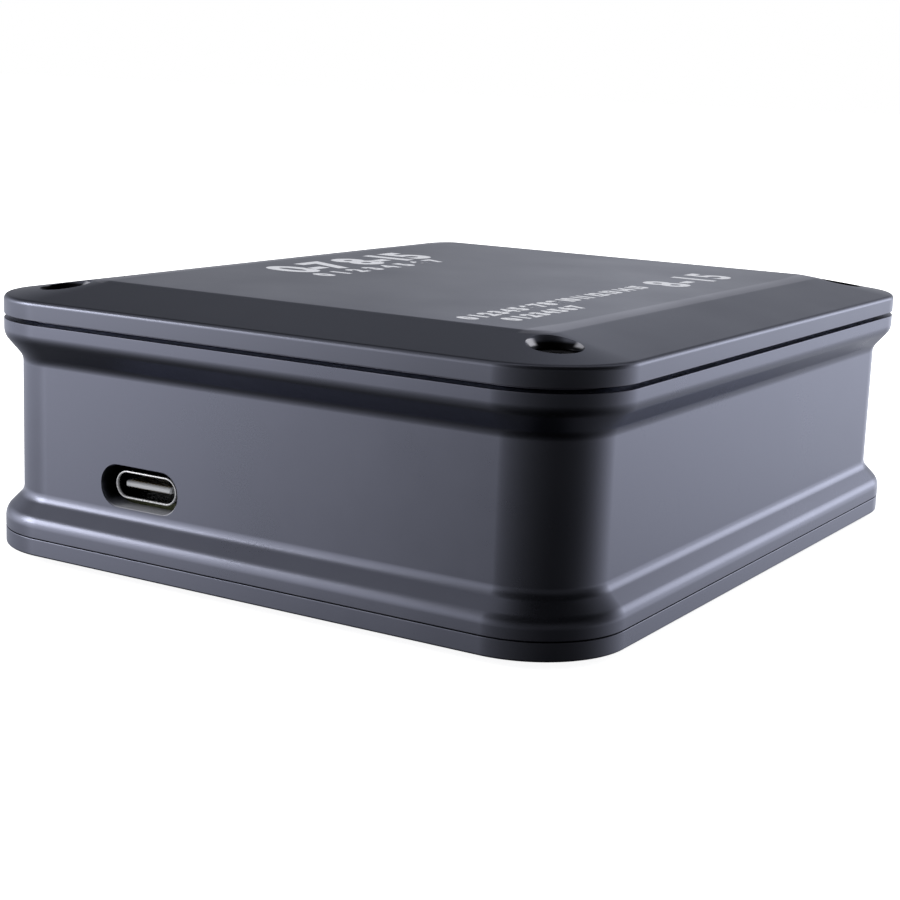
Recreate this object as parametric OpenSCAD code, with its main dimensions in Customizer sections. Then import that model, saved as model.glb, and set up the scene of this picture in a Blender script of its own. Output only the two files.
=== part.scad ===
// Logic analyzer: a waisted metal case with a bevelled lid, a USB-C receptacle in its
// front wall and two probe headers in its rear wall, around one circuit board.
// Millimetres, +Z up. The origin is on the table, under the middle of the case.
// Front is -Y, and the case is symmetric apart from its connectors and its board.

/* [Case] */
// Width of the case, left to right
case_w = 83; // [81:1:110]
// Depth of the case, front to back
case_d = 100; // [98:1:130]
// Plan radius of the case corners
corner_r = 11; // [9:0.5:13]
// Wall of the body frame at its waist
wall = 2.6; // [2:0.1:3]
// Chamfer on the outer edges of both covers
edge_break = 0.15; // [0.1:0.05:0.6]

/* [Body frame] */
// Height of the body frame between the faces that the covers seat on
frame_h = 25.8; // [24:0.1:40]
// Height of each upright flange, from its cover to its sweep
flange_h = 1.3; // [1.2:0.1:3]
// How far the waist lies inside the flanges
waist_in = 2.2; // [1.6:0.1:2.6]
// Height of each S-shaped sweep from a flange to the waist
sweep_h = 4; // [3.5:0.1:5]
// Radius of the outward-curving shoulder of a sweep
shoulder_r = 2; // [1:0.1:2.4]
// Radius of the hollow in which a sweep ends at the waist
fillet_r = 1.8; // [1:0.1:2.4]
// Height of the dark seam under the top cover
top_seam = 0.45; // [0.1:0.05:0.6]
// Height of the fine seam over the bottom cover
bottom_seam = 0.1; // [0.1:0.05:0.4]
// Depth of both seams
seam_d = 1.4; // [0.6:0.1:1.6]

/* [Top cover] */
// Height of the top cover's upright rim
rim_h = 2.3; // [1.6:0.1:4]
// How far the bevel climbs from the rim to the raised panel
bevel_rise = 2; // [1:0.1:3]
// Corner radius of the raised panel
panel_r = 0.6; // [0.2:0.1:3]
// Distance of the raised panel from the side walls' outer faces
panel_in_x = 11.4; // [11:0.1:14]
// Thickness of the raised panel
panel_t = 2.4; // [1.6:0.1:3]

/* [Bottom cover] */
// Thickness of the bottom cover
bottom_t = 2.1; // [1.8:0.1:4]
// Height of the bottom cover's locating lip
bottom_lip_h = 1.5; // [1:0.1:2.5]

/* [Lips] */
// Height of the top cover's locating lip and screw bosses
top_lip_h = 2; // [1.4:0.1:3]
// Width of both locating lips
lip_w = 1.2; // [0.8:0.1:2]
// Clearance round both locating lips
lip_gap = 0.2; // [0.1:0.05:0.4]

/* [Screws] */
// Nominal diameter of every screw
screw_d = 2.5; // [2:0.1:3]
// Distance of the case screws from the side walls' outer faces
screw_in_x = 8; // [8:0.1:10]
// Distance of the case screws from the front and rear outer faces
screw_in_y = 8; // [7:0.1:9]
// Head diameter of a socket-head screw
cap_head_d = 4.5; // [4:0.1:5]
// Head height of a socket-head screw
cap_head_h = 2.5; // [2:0.1:3]
// Clearance between a screw head and its counterbore
head_gap = 0.2; // [0.1:0.05:0.4]
// Chamfer at the mouth of a counterbore
hole_break = 0.5; // [0.2:0.1:0.8]
// Metal left under a socket-head screw
seat_t = 2.2; // [1.4:0.1:3]
// Length of a top screw under its head
top_screw_len = 10; // [8:0.5:14]
// Head diameter of a countersunk screw
flat_head_d = 4.7; // [4.2:0.1:5]
// Length of a bottom screw with its head
bottom_screw_len = 8; // [6:0.5:9]
// Length of a board screw under its head
board_screw_len = 5; // [4:0.5:5.5]
// Head height of a board screw
pan_head_h = 1.6; // [1.2:0.1:2]
// Radius of the body frame's screw posts
post_r = 4; // [3.6:0.1:4.5]

/* [Feet] */
// Height that the feet lift the case
foot_h = 1.2; // [0.8:0.1:3]
// Diameter of a foot
foot_d = 10; // [8:0.5:12]
// Depth of the recess that a foot sits in
foot_recess = 0.4; // [0.2:0.1:0.8]
// Distance of a foot's middle from the side walls' outer faces
foot_in_x = 14; // [12:0.5:18]
// Distance of a foot's middle from the front and rear outer faces
foot_in_y = 18; // [16:0.5:24]

/* [USB-C receptacle] */
// Distance of the receptacle from the left side's outer face
usb_in_x = 25.1; // [22:0.1:36]
// Width of the receptacle's shell
usb_w = 8.94; // [8.9:0.01:9]
// Height of the receptacle's shell
usb_h = 3.26; // [3.2:0.01:3.3]
// Length of the receptacle's shell
usb_len = 7.35; // [6.5:0.05:8]
// Sheet thickness of the receptacle's shell
usb_t = 0.2; // [0.15:0.05:0.35]
// How far the shell lies behind the waist's face
usb_recess = 1.2; // [0.6:0.1:1.8]
// Width of the slot in the wall
slot_w = 11.2; // [10:0.1:12.5]
// Height of the slot in the wall
slot_h = 4.9; // [4.2:0.1:6]

/* [Probe headers] */
// Contacts in each row of a header
header_cols = 8; // [4:1:9]
// Contact spacing
pitch = 2.54; // [2.5:0.01:2.6]
// Width of a header's plastic beyond its end contacts
header_end = 3.1; // [2.6:0.1:3.4]
// Height of a header's plastic
header_h = 8.8; // [8.2:0.1:9.4]
// Length of a header's plastic, front to back
header_len = 8.9; // [8:0.1:10]
// Wall of a header's plastic
header_wall = 1.2; // [0.8:0.1:1.4]
// Thickness of a header's back wall
header_back = 2; // [1.4:0.1:3]
// Width of the key notch in a header's upper wall
key_w = 4.5; // [4:0.1:5.5]
// Thickness of a square contact pin
pin_t = 0.64; // [0.6:0.01:0.7]
// Clearance between a header and its window
window_gap = 0.3; // [0.2:0.05:0.5]
// How far a header lies behind the waist's face
header_recess = 0.3; // [0.1:0.1:1]

/* [Board] */
// Thickness of the circuit board
board_t = 1.6; // [1:0.1:2]
// Space under the circuit board
board_lift = 4.5; // [4:0.1:6]
// Clearance between the board and the frame
board_gap = 1; // [0.5:0.1:1.5]
// Distance of the board screws from the side walls' outer faces
board_screw_in_x = 11.5; // [11:0.5:12.5]
// Distance of the board screws from the front and rear outer faces
board_screw_in_y = 22; // [21:0.5:23]
// Diameter of the board's bosses
boss_d = 6; // [5:0.1:6.5]

/* [Board layout] */
// Board left clear between the front edge and the first row of parts
front_row = 7; // [6.5:0.5:8]
// Distance from one row of power parts to the next
power_row = 10; // [9:0.5:11]
// Distance from the board's screws to the bulk capacitors
bulk_gap = 8; // [7:0.5:9]
// Clear board between the FPGA and the memory or the flash
memory_gap = 3; // [2:0.5:3.5]
// Clear board between a package and its ceramic capacitors
capacitor_gap = 1.7; // [1:0.1:2]
// Spacing of the ceramic capacitors beside the FPGA
capacitor_spacing = 3.2; // [2:0.1:3.5]
// Distance from the headers' rear to the protection arrays
esd_row = 8.5; // [8:0.1:9]
// Distance from the headers' rear to the resistor arrays
resistor_row = 13.5; // [12:0.1:14]
// Distance from the headers' rear to the input comparators
comparator_row = 20; // [19:0.5:21]

/* [Chips] */
// Side of the FPGA's package
fpga_w = 17; // [14:0.5:18]
// Height of the FPGA's package
fpga_h = 1.4; // [1:0.1:2]
// Thickness of the thermal pad
pad_t = 0.5; // [0.2:0.1:1]
// How far the pad stays inside the package's edge
pad_margin = 1; // [0.5:0.25:2]
// Height of the heat sink
sink_h = 8; // [5:0.5:12]
// Thickness of the heat sink's base
sink_base = 2; // [1:0.1:3]
// Fins on the heat sink
sink_fins = 6; // [4:1:7]
// Thickness of a fin
fin_t = 1; // [0.6:0.1:1.2]
// Height of the smaller chips
chip_h = 1; // [0.7:0.1:1.5]
// Side of an input comparator's package
comparator_w = 7; // [5:0.5:8]
// Side of an inductor
inductor_w = 6.6; // [5:0.1:7]
// Height of an inductor
inductor_h = 3; // [2:0.1:4]
// Diameter of a bulk capacitor
bulk_d = 6.3; // [5:0.1:6.6]
// Height of a bulk capacitor
bulk_h = 5.8; // [4:0.1:8]

/* [Hidden] */
$fn = 64;

// Small overshoot that keeps a cut's end off the face it leaves by
over = 0.5;
// Radial clearance between a screw and the thread it turns in
thread_gap = 0.05;
// Radial clearance between a screw and a hole it passes through
through_gap = 0.2;

// Levels, from the table up
bottom_z = foot_h;
frame_z = bottom_z + bottom_t;
cover_z = frame_z + frame_h;
rim_z = cover_z + rim_h;
panel_z = rim_z + bevel_rise;
board_z = frame_z + board_lift;
board_top = board_z + board_t;
post_top = cover_z - top_lip_h;
seat_z = post_top + seat_t;

// How far a case screw lies inside the rim, and the height of the bevel over it
screw_in = corner_r - norm([max(0, corner_r - screw_in_x), max(0, corner_r - screw_in_y)]);
screw_top = rim_z + bevel_rise * (screw_in - edge_break) / (corner_r - panel_r - edge_break);

// How far the cavity's walls lie inside the flanges
cavity_in = waist_in + wall;
waist_y = case_d / 2 - waist_in;

// Places of the screws, the feet and the board's screws, from the middle of the case
screw_at = [case_w / 2 - screw_in_x, case_d / 2 - screw_in_y];
foot_at = [case_w / 2 - foot_in_x, case_d / 2 - foot_in_y];
board_screw_at = [case_w / 2 - board_screw_in_x, case_d / 2 - board_screw_in_y];

// The receptacle's middle, the shell's front face and the corner radius of its stadium
usb_x = usb_in_x - case_w / 2;
usb_z = board_top + usb_h / 2;
usb_front = usb_recess - waist_y;
tongue_w = 6.69;
tongue_t = 0.7;
tongue_in = 0.4;
usb_back_t = 2.4;
usb_contact_pitch = 0.5;

// A header's outline, its mouth and the two bends of its contacts. Both headers stand
// between the screw posts with equal gaps at their sides and between them.
header_w = (header_cols - 1) * pitch + 2 * header_end;
header_gap = 2 * (screw_at.x - post_r - header_w) / 3;
header_x = (header_gap + header_w) / 2;
header_mouth = waist_y - header_recess;
header_rear = header_mouth - header_len;
pin_z = board_top + header_h / 2 - pitch / 2;
pin_bend = header_rear - pitch / 2;
pin_tip = header_mouth - 1.2;
pin_below = 1;

// Sizes of the standard packages
sdram_size = [8, 12.5];
usb_controller_w = 9;
oscillator_size = [3.2, 2.5, 0.8];
flash_size = [4, 5, 1.6];
flash_lead = [1.2, 0.4, 0.35];
flash_pitch = 1.27;
regulator_w = 4;
esd_size = [1.6, 2.9, 1.1];
resistor_size = [3.2, 1.6, 0.55];
capacitor_size = [0.8, 1.6, 0.8];

// Places on the board, measured from its edges, its screws, its ports and its middle
board_front = cavity_in + board_gap - case_d / 2;
fpga_at = [0, -4];
sdram_at = [fpga_at.x + fpga_w / 2 + memory_gap + sdram_size.x / 2, fpga_at.y];
flash_at = [fpga_at.x - fpga_w / 2 - memory_gap - flash_size.x, fpga_at.y];
usb_controller_at = [usb_x, board_front + front_row + 0.8 * power_row];
oscillator_at = [usb_x + usb_controller_w + memory_gap, usb_controller_at.y];
power_x = board_screw_at.x - power_row;
inductor_step = inductor_w + capacitor_gap;
inductor_at = [
    [power_x - inductor_step, board_front + front_row],
    [power_x, board_front + front_row],
    [power_x, board_front + front_row + power_row]
];
regulator_at = [
    for (i = [0, 1])
        [power_x - inductor_step, inductor_at[2].y + (i - 0.5) * (regulator_w + capacitor_gap)]
];
bulk_at = [
    for (i = [0, 1])
        [board_screw_at.x - cap_head_d / 2, bulk_gap - board_screw_at.y + i * (bulk_d + capacitor_gap)]
];
comparator_y = header_rear - comparator_row;

// The signs of the four corners
corners = [[-1, -1], [1, -1], [-1, 1], [1, 1]];

// A flat outline of the case, as far inside its outer face as inset says
module case_plan(inset) {
    rounded_rect(case_w - 2 * inset, case_d - 2 * inset, corner_r - inset);
}

module rounded_rect(w, d, r) {
    square([w - 2 * r, d], center = true);
    square([w, d - 2 * r], center = true);
    for (c = corners)
        translate([c.x * (w / 2 - r), c.y * (d / 2 - r)])
            circle(r);
}

// A flat slot with round ends
module stadium(w, h) {
    square([w - h, h], center = true);
    for (side = [-1, 1])
        translate([side * (w - h) / 2, 0])
            circle(h / 2);
}

// Copies of the children at the four corners of a place
module at_corners(place, z) {
    for (c = corners)
        translate([c.x * place.x, c.y * place.y, z])
            children();
}

// A solid with the case's outline, whose edge follows the flat child all the way round.
// The child's X is the distance from the corner's centre, and its Y is the height.
module edge_sweep(z, h) {
    core = [case_w - 2 * corner_r, case_d - 2 * corner_r];
    translate([-core.x / 2, -core.y / 2, z])
        cube([core.x, core.y, h]);
    for (turn = [0, 180])
        rotate(turn) {
            translate([core.x / 2, 0, 0])
                rotate([90, 0, 0])
                    linear_extrude(core.y, center = true)
                        children();
            translate([core.x / 2, core.y / 2, 0])
                rotate_extrude(angle = 90)
                    children();
            rotate(90) {
                translate([core.y / 2, 0, 0])
                    rotate([90, 0, 0])
                        linear_extrude(core.x, center = true)
                            children();
                translate([core.y / 2, core.x / 2, 0])
                    rotate_extrude(angle = 90)
                        children();
            }
        }
}

// The S-shaped sweep between a flange and the waist: a round shoulder, a flat and a fillet,
// each tangent to the next. It starts at the flange's end, and its X is the distance from
// the waist.
module sweep_profile() {
    shoulder = [waist_in - shoulder_r, 0];
    fillet = [fillet_r, sweep_h];
    apart = fillet - shoulder;
    tilt = atan2(apart.y, apart.x) - acos(min(1, (shoulder_r + fillet_r) / norm(apart)));
    facing = [cos(tilt), sin(tilt)];
    difference() {
        polygon([
            [-shoulder_r, 0], shoulder, shoulder + shoulder_r * facing,
            fillet - fillet_r * facing, fillet, [-shoulder_r, sweep_h]
        ]);
        translate(fillet)
            circle(fillet_r);
    }
    intersection() {
        translate(shoulder)
            circle(shoulder_r);
        square(waist_in + sweep_h);
    }
}

// The frame's edge: two flanges with a seam's step, two sweeps and the waist between them
module frame_profile() {
    waist_r = corner_r - waist_in;
    translate([0, frame_z])
        square([waist_r, frame_h]);
    translate([0, frame_z])
        square([corner_r - seam_d, flange_h]);
    translate([0, frame_z + bottom_seam])
        square([corner_r, flange_h - bottom_seam]);
    translate([0, cover_z - flange_h])
        square([corner_r - seam_d, flange_h]);
    translate([0, cover_z - flange_h])
        square([corner_r, flange_h - top_seam]);
    translate([waist_r, frame_z + flange_h])
        sweep_profile();
    translate([waist_r, cover_z - flange_h])
        mirror([0, 1])
            sweep_profile();
}

// The top cover's edge: an upright rim, a broken edge and the bevel up to the panel
module cover_profile() {
    bevel_start = [corner_r - edge_break, rim_z];
    polygon([
        [0, cover_z], [corner_r, cover_z], [corner_r, rim_z - edge_break],
        bevel_start, [panel_r, panel_z], [0, panel_z]
    ]);
}

module bottom_profile() {
    polygon([
        [0, bottom_z], [corner_r - edge_break, bottom_z],
        [corner_r, bottom_z + edge_break], [corner_r, frame_z], [0, frame_z]
    ]);
}

module bottom_cover() {
    color("#55565e")
    difference() {
        union() {
            edge_sweep(bottom_z, bottom_t)
                bottom_profile();
            translate([0, 0, frame_z - over])
                linear_extrude(bottom_lip_h + over)
                    bottom_lip_plan();
            at_corners(board_screw_at, frame_z - over)
                cylinder(h = board_lift + over, d = boss_d);
        }
        at_corners(board_screw_at, board_z - board_screw_len)
            cylinder(h = board_screw_len + over, r = screw_d / 2 + thread_gap);
        at_corners(screw_at, bottom_z - over)
            cylinder(h = bottom_t + 2 * over, r = screw_d / 2 + through_gap);
        at_corners(screw_at, bottom_z)
            countersink(head_gap / 2);
        at_corners(foot_at, bottom_z - over)
            cylinder(h = foot_recess + over, d = foot_d + 2 * head_gap);
    }
}

// The lip runs round the inside of the frame and stops short of its screw posts
module bottom_lip_plan() {
    difference() {
        case_plan(cavity_in + lip_gap);
        case_plan(cavity_in + lip_gap + lip_w);
        for (c = corners)
            translate([c.x * screw_at.x, c.y * screw_at.y])
                circle(post_r + lip_gap);
    }
}

// A countersunk head's cone, grown by gap all round
module countersink(gap) {
    head_r = flat_head_d / 2 + gap;
    cylinder(h = head_r - screw_d / 2, r1 = head_r, r2 = screw_d / 2);
}

module body_frame() {
    color("#6d6e78")
    difference() {
        edge_sweep(frame_z, frame_h)
            frame_profile();
        frame_cavity();
        at_corners(screw_at, post_top - top_screw_len)
            cylinder(h = top_screw_len + over, r = screw_d / 2 + thread_gap);
        at_corners(screw_at, frame_z - over)
            cylinder(h = bottom_screw_len + over, r = screw_d / 2 + thread_gap);
        usb_slot();
        for (side = [-1, 1])
            probe_window(side);
    }
}

// The hollow inside the frame, less the four posts that the case screws turn into
module frame_cavity() {
    difference() {
        translate([0, 0, frame_z - over])
            linear_extrude(frame_h + 2 * over)
                case_plan(cavity_in);
        at_corners(screw_at, frame_z)
            cylinder(h = post_top - frame_z, r = post_r);
    }
}

module usb_slot() {
    translate([usb_x, -waist_y + wall + over, usb_z])
        rotate([90, 0, 0])
            linear_extrude(wall + 2 * over)
                stadium(slot_w, slot_h);
}

module probe_window(side) {
    size = [header_w + 2 * window_gap, wall + 2 * over, header_h + 2 * window_gap];
    translate([side * header_x - size.x / 2, waist_y - wall - over, board_top - window_gap])
        cube(size);
}

module top_cover() {
    color("#61626b")
    difference() {
        union() {
            edge_sweep(cover_z, rim_h + bevel_rise)
                cover_profile();
            translate([0, 0, post_top])
                linear_extrude(top_lip_h + over)
                    top_lip_plan();
        }
        translate([0, 0, cover_z - over])
            linear_extrude(panel_z - panel_t - cover_z + over)
                case_plan(corner_r - panel_r);
        at_corners(screw_at, post_top - over)
            cylinder(h = seat_t + 2 * over, r = screw_d / 2 + through_gap);
        at_corners(screw_at, seat_z)
            cylinder(h = panel_z, r = cap_head_d / 2 + head_gap);
        at_corners(screw_at, screw_top - hole_break)
            counterbore_mouth(bevel_rise + hole_break);
        for (turn = [0, 180])
            rotate(turn)
                side_slope();
    }
}

module counterbore_mouth(h) {
    hole_r = cap_head_d / 2 + head_gap;
    cylinder(h = h, r1 = hole_r, r2 = hole_r + h);
}

// What lies over the right-hand bevel, which is wider than the front and rear ones
module side_slope() {
    run = [panel_in_x - edge_break, bevel_rise];
    rotate([90, 0, 0])
        linear_extrude(case_d, center = true)
            translate([case_w / 2 - edge_break, rim_z])
                polygon([
                    [over, -over * run.y / run.x], [-2 * run.x, 2 * run.y],
                    [-2 * run.x, 3 * run.y], [over, 3 * run.y]
                ]);
}

// The lip inside the frame, with a boss over each screw post
module top_lip_plan() {
    intersection() {
        case_plan(cavity_in + lip_gap);
        union() {
            difference() {
                case_plan(cavity_in);
                case_plan(cavity_in + lip_gap + lip_w);
            }
            for (c = corners)
                translate([c.x * screw_at.x, c.y * screw_at.y])
                    circle(post_r);
        }
    }
}

module top_screws() {
    color("#151517")
    at_corners(screw_at, seat_z)
        cap_screw(top_screw_len);
}

module cap_screw(len) {
    socket_d = 0.5 * cap_head_d;
    difference() {
        union() {
            cylinder(h = cap_head_h, d = cap_head_d);
            translate([0, 0, -len])
                cylinder(h = len + over, d = screw_d);
        }
        translate([0, 0, cap_head_h / 2])
            cylinder(h = cap_head_h, d = socket_d, $fn = 6);
    }
}

module bottom_screws() {
    color("#151517")
    at_corners(screw_at, bottom_z)
        difference() {
            union() {
                countersink(0);
                cylinder(h = bottom_screw_len, d = screw_d);
            }
            translate([0, 0, -over])
                cylinder(h = over + bottom_t / 2, d = screw_d * 0.6, $fn = 6);
        }
}

module board_screws() {
    color("#b9bbbf")
    at_corners(board_screw_at, board_top)
        difference() {
            union() {
                cylinder(h = pan_head_h, d = cap_head_d);
                translate([0, 0, -board_screw_len])
                    cylinder(h = board_screw_len + over, d = screw_d);
            }
            for (turn = [0, 90])
                rotate(turn)
                    translate([0, 0, pan_head_h])
                        cube([cap_head_d * 0.6, screw_d * 0.2, pan_head_h], center = true);
        }
}

module foot(side_x, side_y) {
    color("#1b1b1c")
    translate([side_x * foot_at.x, side_y * foot_at.y, 0]) {
        cylinder(h = edge_break, d1 = foot_d - 2 * edge_break, d2 = foot_d);
        translate([0, 0, edge_break])
            cylinder(h = foot_h + foot_recess - edge_break, d = foot_d);
    }
}

module main_board() {
    leg_slot = [0.7, 1.5];
    color("#1f5a3a")
    difference() {
        translate([0, 0, board_z])
            linear_extrude(board_t)
                difference() {
                    case_plan(cavity_in + board_gap);
                    for (c = corners)
                        translate([c.x * screw_at.x, c.y * screw_at.y])
                            circle(post_r + board_gap);
                    for (c = corners)
                        translate([c.x * board_screw_at.x, c.y * board_screw_at.y])
                            circle(screw_d / 2 + through_gap);
                    for (leg = usb_legs())
                        translate(leg)
                            square(leg_slot, center = true);
                }
        for (side = [-1, 1])
            pin_holes(side);
    }
}

module pin_holes(side) {
    for (col = [0:header_cols - 1])
        for (row = [0, 1])
            translate([pin_x(side, col), pin_bend - row * pitch, board_z - over])
                cylinder(h = board_t + 2 * over, d = pin_t + 0.4, $fn = 24);
}

function pin_x(side, col) = side * header_x + (col - (header_cols - 1) / 2) * pitch;

// Middles of the four legs that hold the receptacle's shell in the board
function usb_legs() = [
    for (side = [-1, 1])
        for (back = [usb_len / 2, usb_len - 1])
            [usb_x + side * (usb_w - usb_t) / 2, usb_front + back]
];

module usb_shell() {
    leg = [usb_t, 1];
    color("#c9c9cc") {
        translate([usb_x, usb_front + usb_len, usb_z])
            rotate([90, 0, 0])
                linear_extrude(usb_len)
                    difference() {
                        stadium(usb_w, usb_h);
                        stadium(usb_w - 2 * usb_t, usb_h - 2 * usb_t);
                    }
        for (at = usb_legs())
            translate([at.x - leg.x / 2, at.y - leg.y / 2, board_z + board_t / 4])
                cube([leg.x, leg.y, usb_z - board_z - board_t / 4]);
    }
}

module usb_tongue() {
    play = 0.02;
    color("#3a3a3d") {
        translate([usb_x, usb_front + usb_len, usb_z])
            rotate([90, 0, 0])
                linear_extrude(usb_back_t)
                    stadium(usb_w - 2 * usb_t - play, usb_h - 2 * usb_t - play);
        translate([usb_x - tongue_w / 2, usb_front + tongue_in, usb_z - tongue_t / 2])
            cube([tongue_w, usb_len - tongue_in - usb_back_t + over, tongue_t]);
    }
}

module usb_contacts() {
    contact = [0.25, 3.2, 0.08];
    color("#d8b04a")
    for (face = [-1, 1])
        for (i = [0:11])
            translate([
                usb_x + (i - 5.5) * usb_contact_pitch,
                usb_front + tongue_in + 0.4 + contact.y / 2,
                usb_z + face * (tongue_t + contact.z) / 2
            ])
                cube(contact, center = true);
}

module probe_shroud(side) {
    inner = [header_w - 2 * header_wall, header_len, header_h - 2 * header_wall];
    color("#18181a")
    translate([side * header_x, header_rear, board_top])
        difference() {
            translate([-header_w / 2, 0, 0])
                cube([header_w, header_len, header_h]);
            translate([-inner.x / 2, header_back, header_wall])
                cube(inner);
            translate([-key_w / 2, header_back + header_wall, header_h / 2])
                cube([key_w, header_len, header_h]);
            for (col = [0:header_cols - 1])
                for (row = [0, 1])
                    translate([
                        pin_x(0, col) - pin_t / 2, -over,
                        pin_z - board_top + row * pitch - pin_t / 2
                    ])
                        cube([pin_t, header_back + 2 * over, pin_t]);
        }
}

// Right-angle contacts: each runs back through the plastic and down through the board
module probe_pins(side) {
    color("#d8b04a")
    for (col = [0:header_cols - 1])
        for (row = [0, 1]) {
            bend = pin_bend - row * pitch;
            z = pin_z + row * pitch;
            translate([pin_x(side, col) - pin_t / 2, bend - pin_t / 2, 0]) {
                translate([0, 0, z - pin_t / 2])
                    cube([pin_t, pin_tip - bend + pin_t / 2, pin_t]);
                translate([0, 0, board_z - pin_below])
                    cube([pin_t, pin_t, z - board_z + pin_below]);
            }
        }
}

// A plain package on the board, centred on its place
module chip(place, w, d, h, shade) {
    color(shade)
    translate([place.x - w / 2, place.y - d / 2, board_top])
        cube([w, d, h]);
}

// The flash: leads along two sides carry its body clear of the board
module config_flash() {
    leads = 4;
    body_lift = flash_lead.z - 0.1;
    translate([flash_at.x, flash_at.y, board_top]) {
        color("#1c1c1f")
        translate([-flash_size.x / 2, -flash_size.y / 2, body_lift])
            cube([flash_size.x, flash_size.y, flash_size.z - body_lift]);
        color("#c9c9cc")
        for (side = [0, 180])
            rotate(side)
                for (i = [0:leads - 1])
                    translate([
                        flash_size.x / 2 - flash_lead.y,
                        (i - (leads - 1) / 2) * flash_pitch - flash_lead.y / 2, 0
                    ])
                        cube(flash_lead);
    }
}

module thermal_pad() {
    pad_w = fpga_w - 2 * pad_margin;
    color("#8f9aa8")
    translate([fpga_at.x - pad_w / 2, fpga_at.y - pad_w / 2, board_top + fpga_h])
        cube([pad_w, pad_w, pad_t]);
}

module heat_sink() {
    base_z = board_top + fpga_h + pad_t;
    fin_step = (fpga_w - fin_t) / (sink_fins - 1);
    color("#2a2a2e")
    translate([fpga_at.x - fpga_w / 2, fpga_at.y - fpga_w / 2, base_z]) {
        cube([fpga_w, fpga_w, sink_base]);
        for (i = [0:sink_fins - 1])
            translate([i * fin_step, 0, 0])
                cube([fin_t, fpga_w, sink_h]);
    }
}

// A moulded power inductor: a square body with broken vertical edges
module inductor(place) {
    color("#3b3b40")
    translate([place.x, place.y, board_top])
        linear_extrude(inductor_h)
            rounded_rect(inductor_w, inductor_w, inductor_w / 8);
}

// An electrolytic can on its square base
module bulk_capacitor(place) {
    base_t = 0.8;
    translate([place.x, place.y, board_top]) {
        color("#1c1c1f")
        translate([-bulk_d / 2, -bulk_d / 2, 0])
            cube([bulk_d, bulk_d, base_t]);
        color("#b9bbbf")
        translate([0, 0, base_t])
            cylinder(h = bulk_h - base_t, d = bulk_d - 0.2);
    }
}

// Small blocks in a row on the board, centred on x = 0
module block_row(count, spacing, y, size) {
    for (i = [0:count - 1])
        block([(i - (count - 1) / 2) * spacing, y], size);
}

// Small blocks that share the width of each header equally
module header_row(count, y, size) {
    for (side = [-1, 1])
        for (i = [0:count - 1])
            block([header_share(side, i, count), y], size);
}

module block(place, size) {
    translate([place.x - size.x / 2, place.y - size.y / 2, board_top])
        cube(size);
}

function header_share(side, i, count) = side * header_x + (i - (count - 1) / 2) * header_w / count;

module ceramic_capacitors() {
    fpga_reach = fpga_w / 2 + capacitor_gap + capacitor_size.y / 2;
    comparator_reach = comparator_w / 2 + capacitor_gap / 2 + capacitor_size.y / 2;
    color("#b08d62") {
        for (side = [-1, 1])
            block_row(5, capacitor_spacing, fpga_at.y + side * fpga_reach, capacitor_size);
        header_row(2, comparator_y - comparator_reach, capacitor_size);
    }
}

module esd_arrays() {
    color("#1c1c1f")
    header_row(4, header_rear - esd_row, esd_size);
}

module resistor_arrays() {
    color("#222226")
    header_row(4, header_rear - resistor_row, resistor_size);
}

module comparator(i) {
    place = [header_share(i < 3 ? -1 : 1, (i - 1) % 2, 2), comparator_y];
    chip(place, comparator_w, comparator_w, chip_h, "#1c1c1f");
}

bottom_cover();
body_frame();
top_cover();
top_screws();
bottom_screws();
foot(-1, -1);  // foot_front_left
foot(1, -1);  // foot_front_right
foot(-1, 1);  // foot_rear_left
foot(1, 1);  // foot_rear_right
main_board();
board_screws();
usb_shell();
usb_tongue();
usb_contacts();
probe_shroud(-1);  // probe_shroud_left
probe_shroud(1);  // probe_shroud_right
probe_pins(-1);  // probe_pins_left
probe_pins(1);  // probe_pins_right
chip(fpga_at, fpga_w, fpga_w, fpga_h, "#1c1c1f");  // fpga
thermal_pad();
heat_sink();
chip(sdram_at, sdram_size.x, sdram_size.y, chip_h, "#1c1c1f");  // sdram
chip(usb_controller_at, usb_controller_w, usb_controller_w, chip_h, "#1c1c1f");  // usb_controller
config_flash();
chip(oscillator_at, oscillator_size.x, oscillator_size.y, oscillator_size.z, "#c9c9cc");  // oscillator
comparator(1);  // comparator_1
comparator(2);  // comparator_2
comparator(3);  // comparator_3
comparator(4);  // comparator_4
inductor(inductor_at[0]);  // inductor_1
inductor(inductor_at[1]);  // inductor_2
inductor(inductor_at[2]);  // inductor_3
chip(regulator_at[0], regulator_w, regulator_w, chip_h, "#1c1c1f");  // regulator_1
chip(regulator_at[1], regulator_w, regulator_w, chip_h, "#1c1c1f");  // regulator_2
bulk_capacitor(bulk_at[0]);  // bulk_capacitor_1
bulk_capacitor(bulk_at[1]);  // bulk_capacitor_2
ceramic_capacitors();
esd_arrays();
resistor_arrays();
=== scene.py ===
from math import acos, atan2, copysign, cos, degrees, hypot, pi, radians, sin

import bmesh
import bpy
from mathutils import Matrix, Vector


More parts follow.
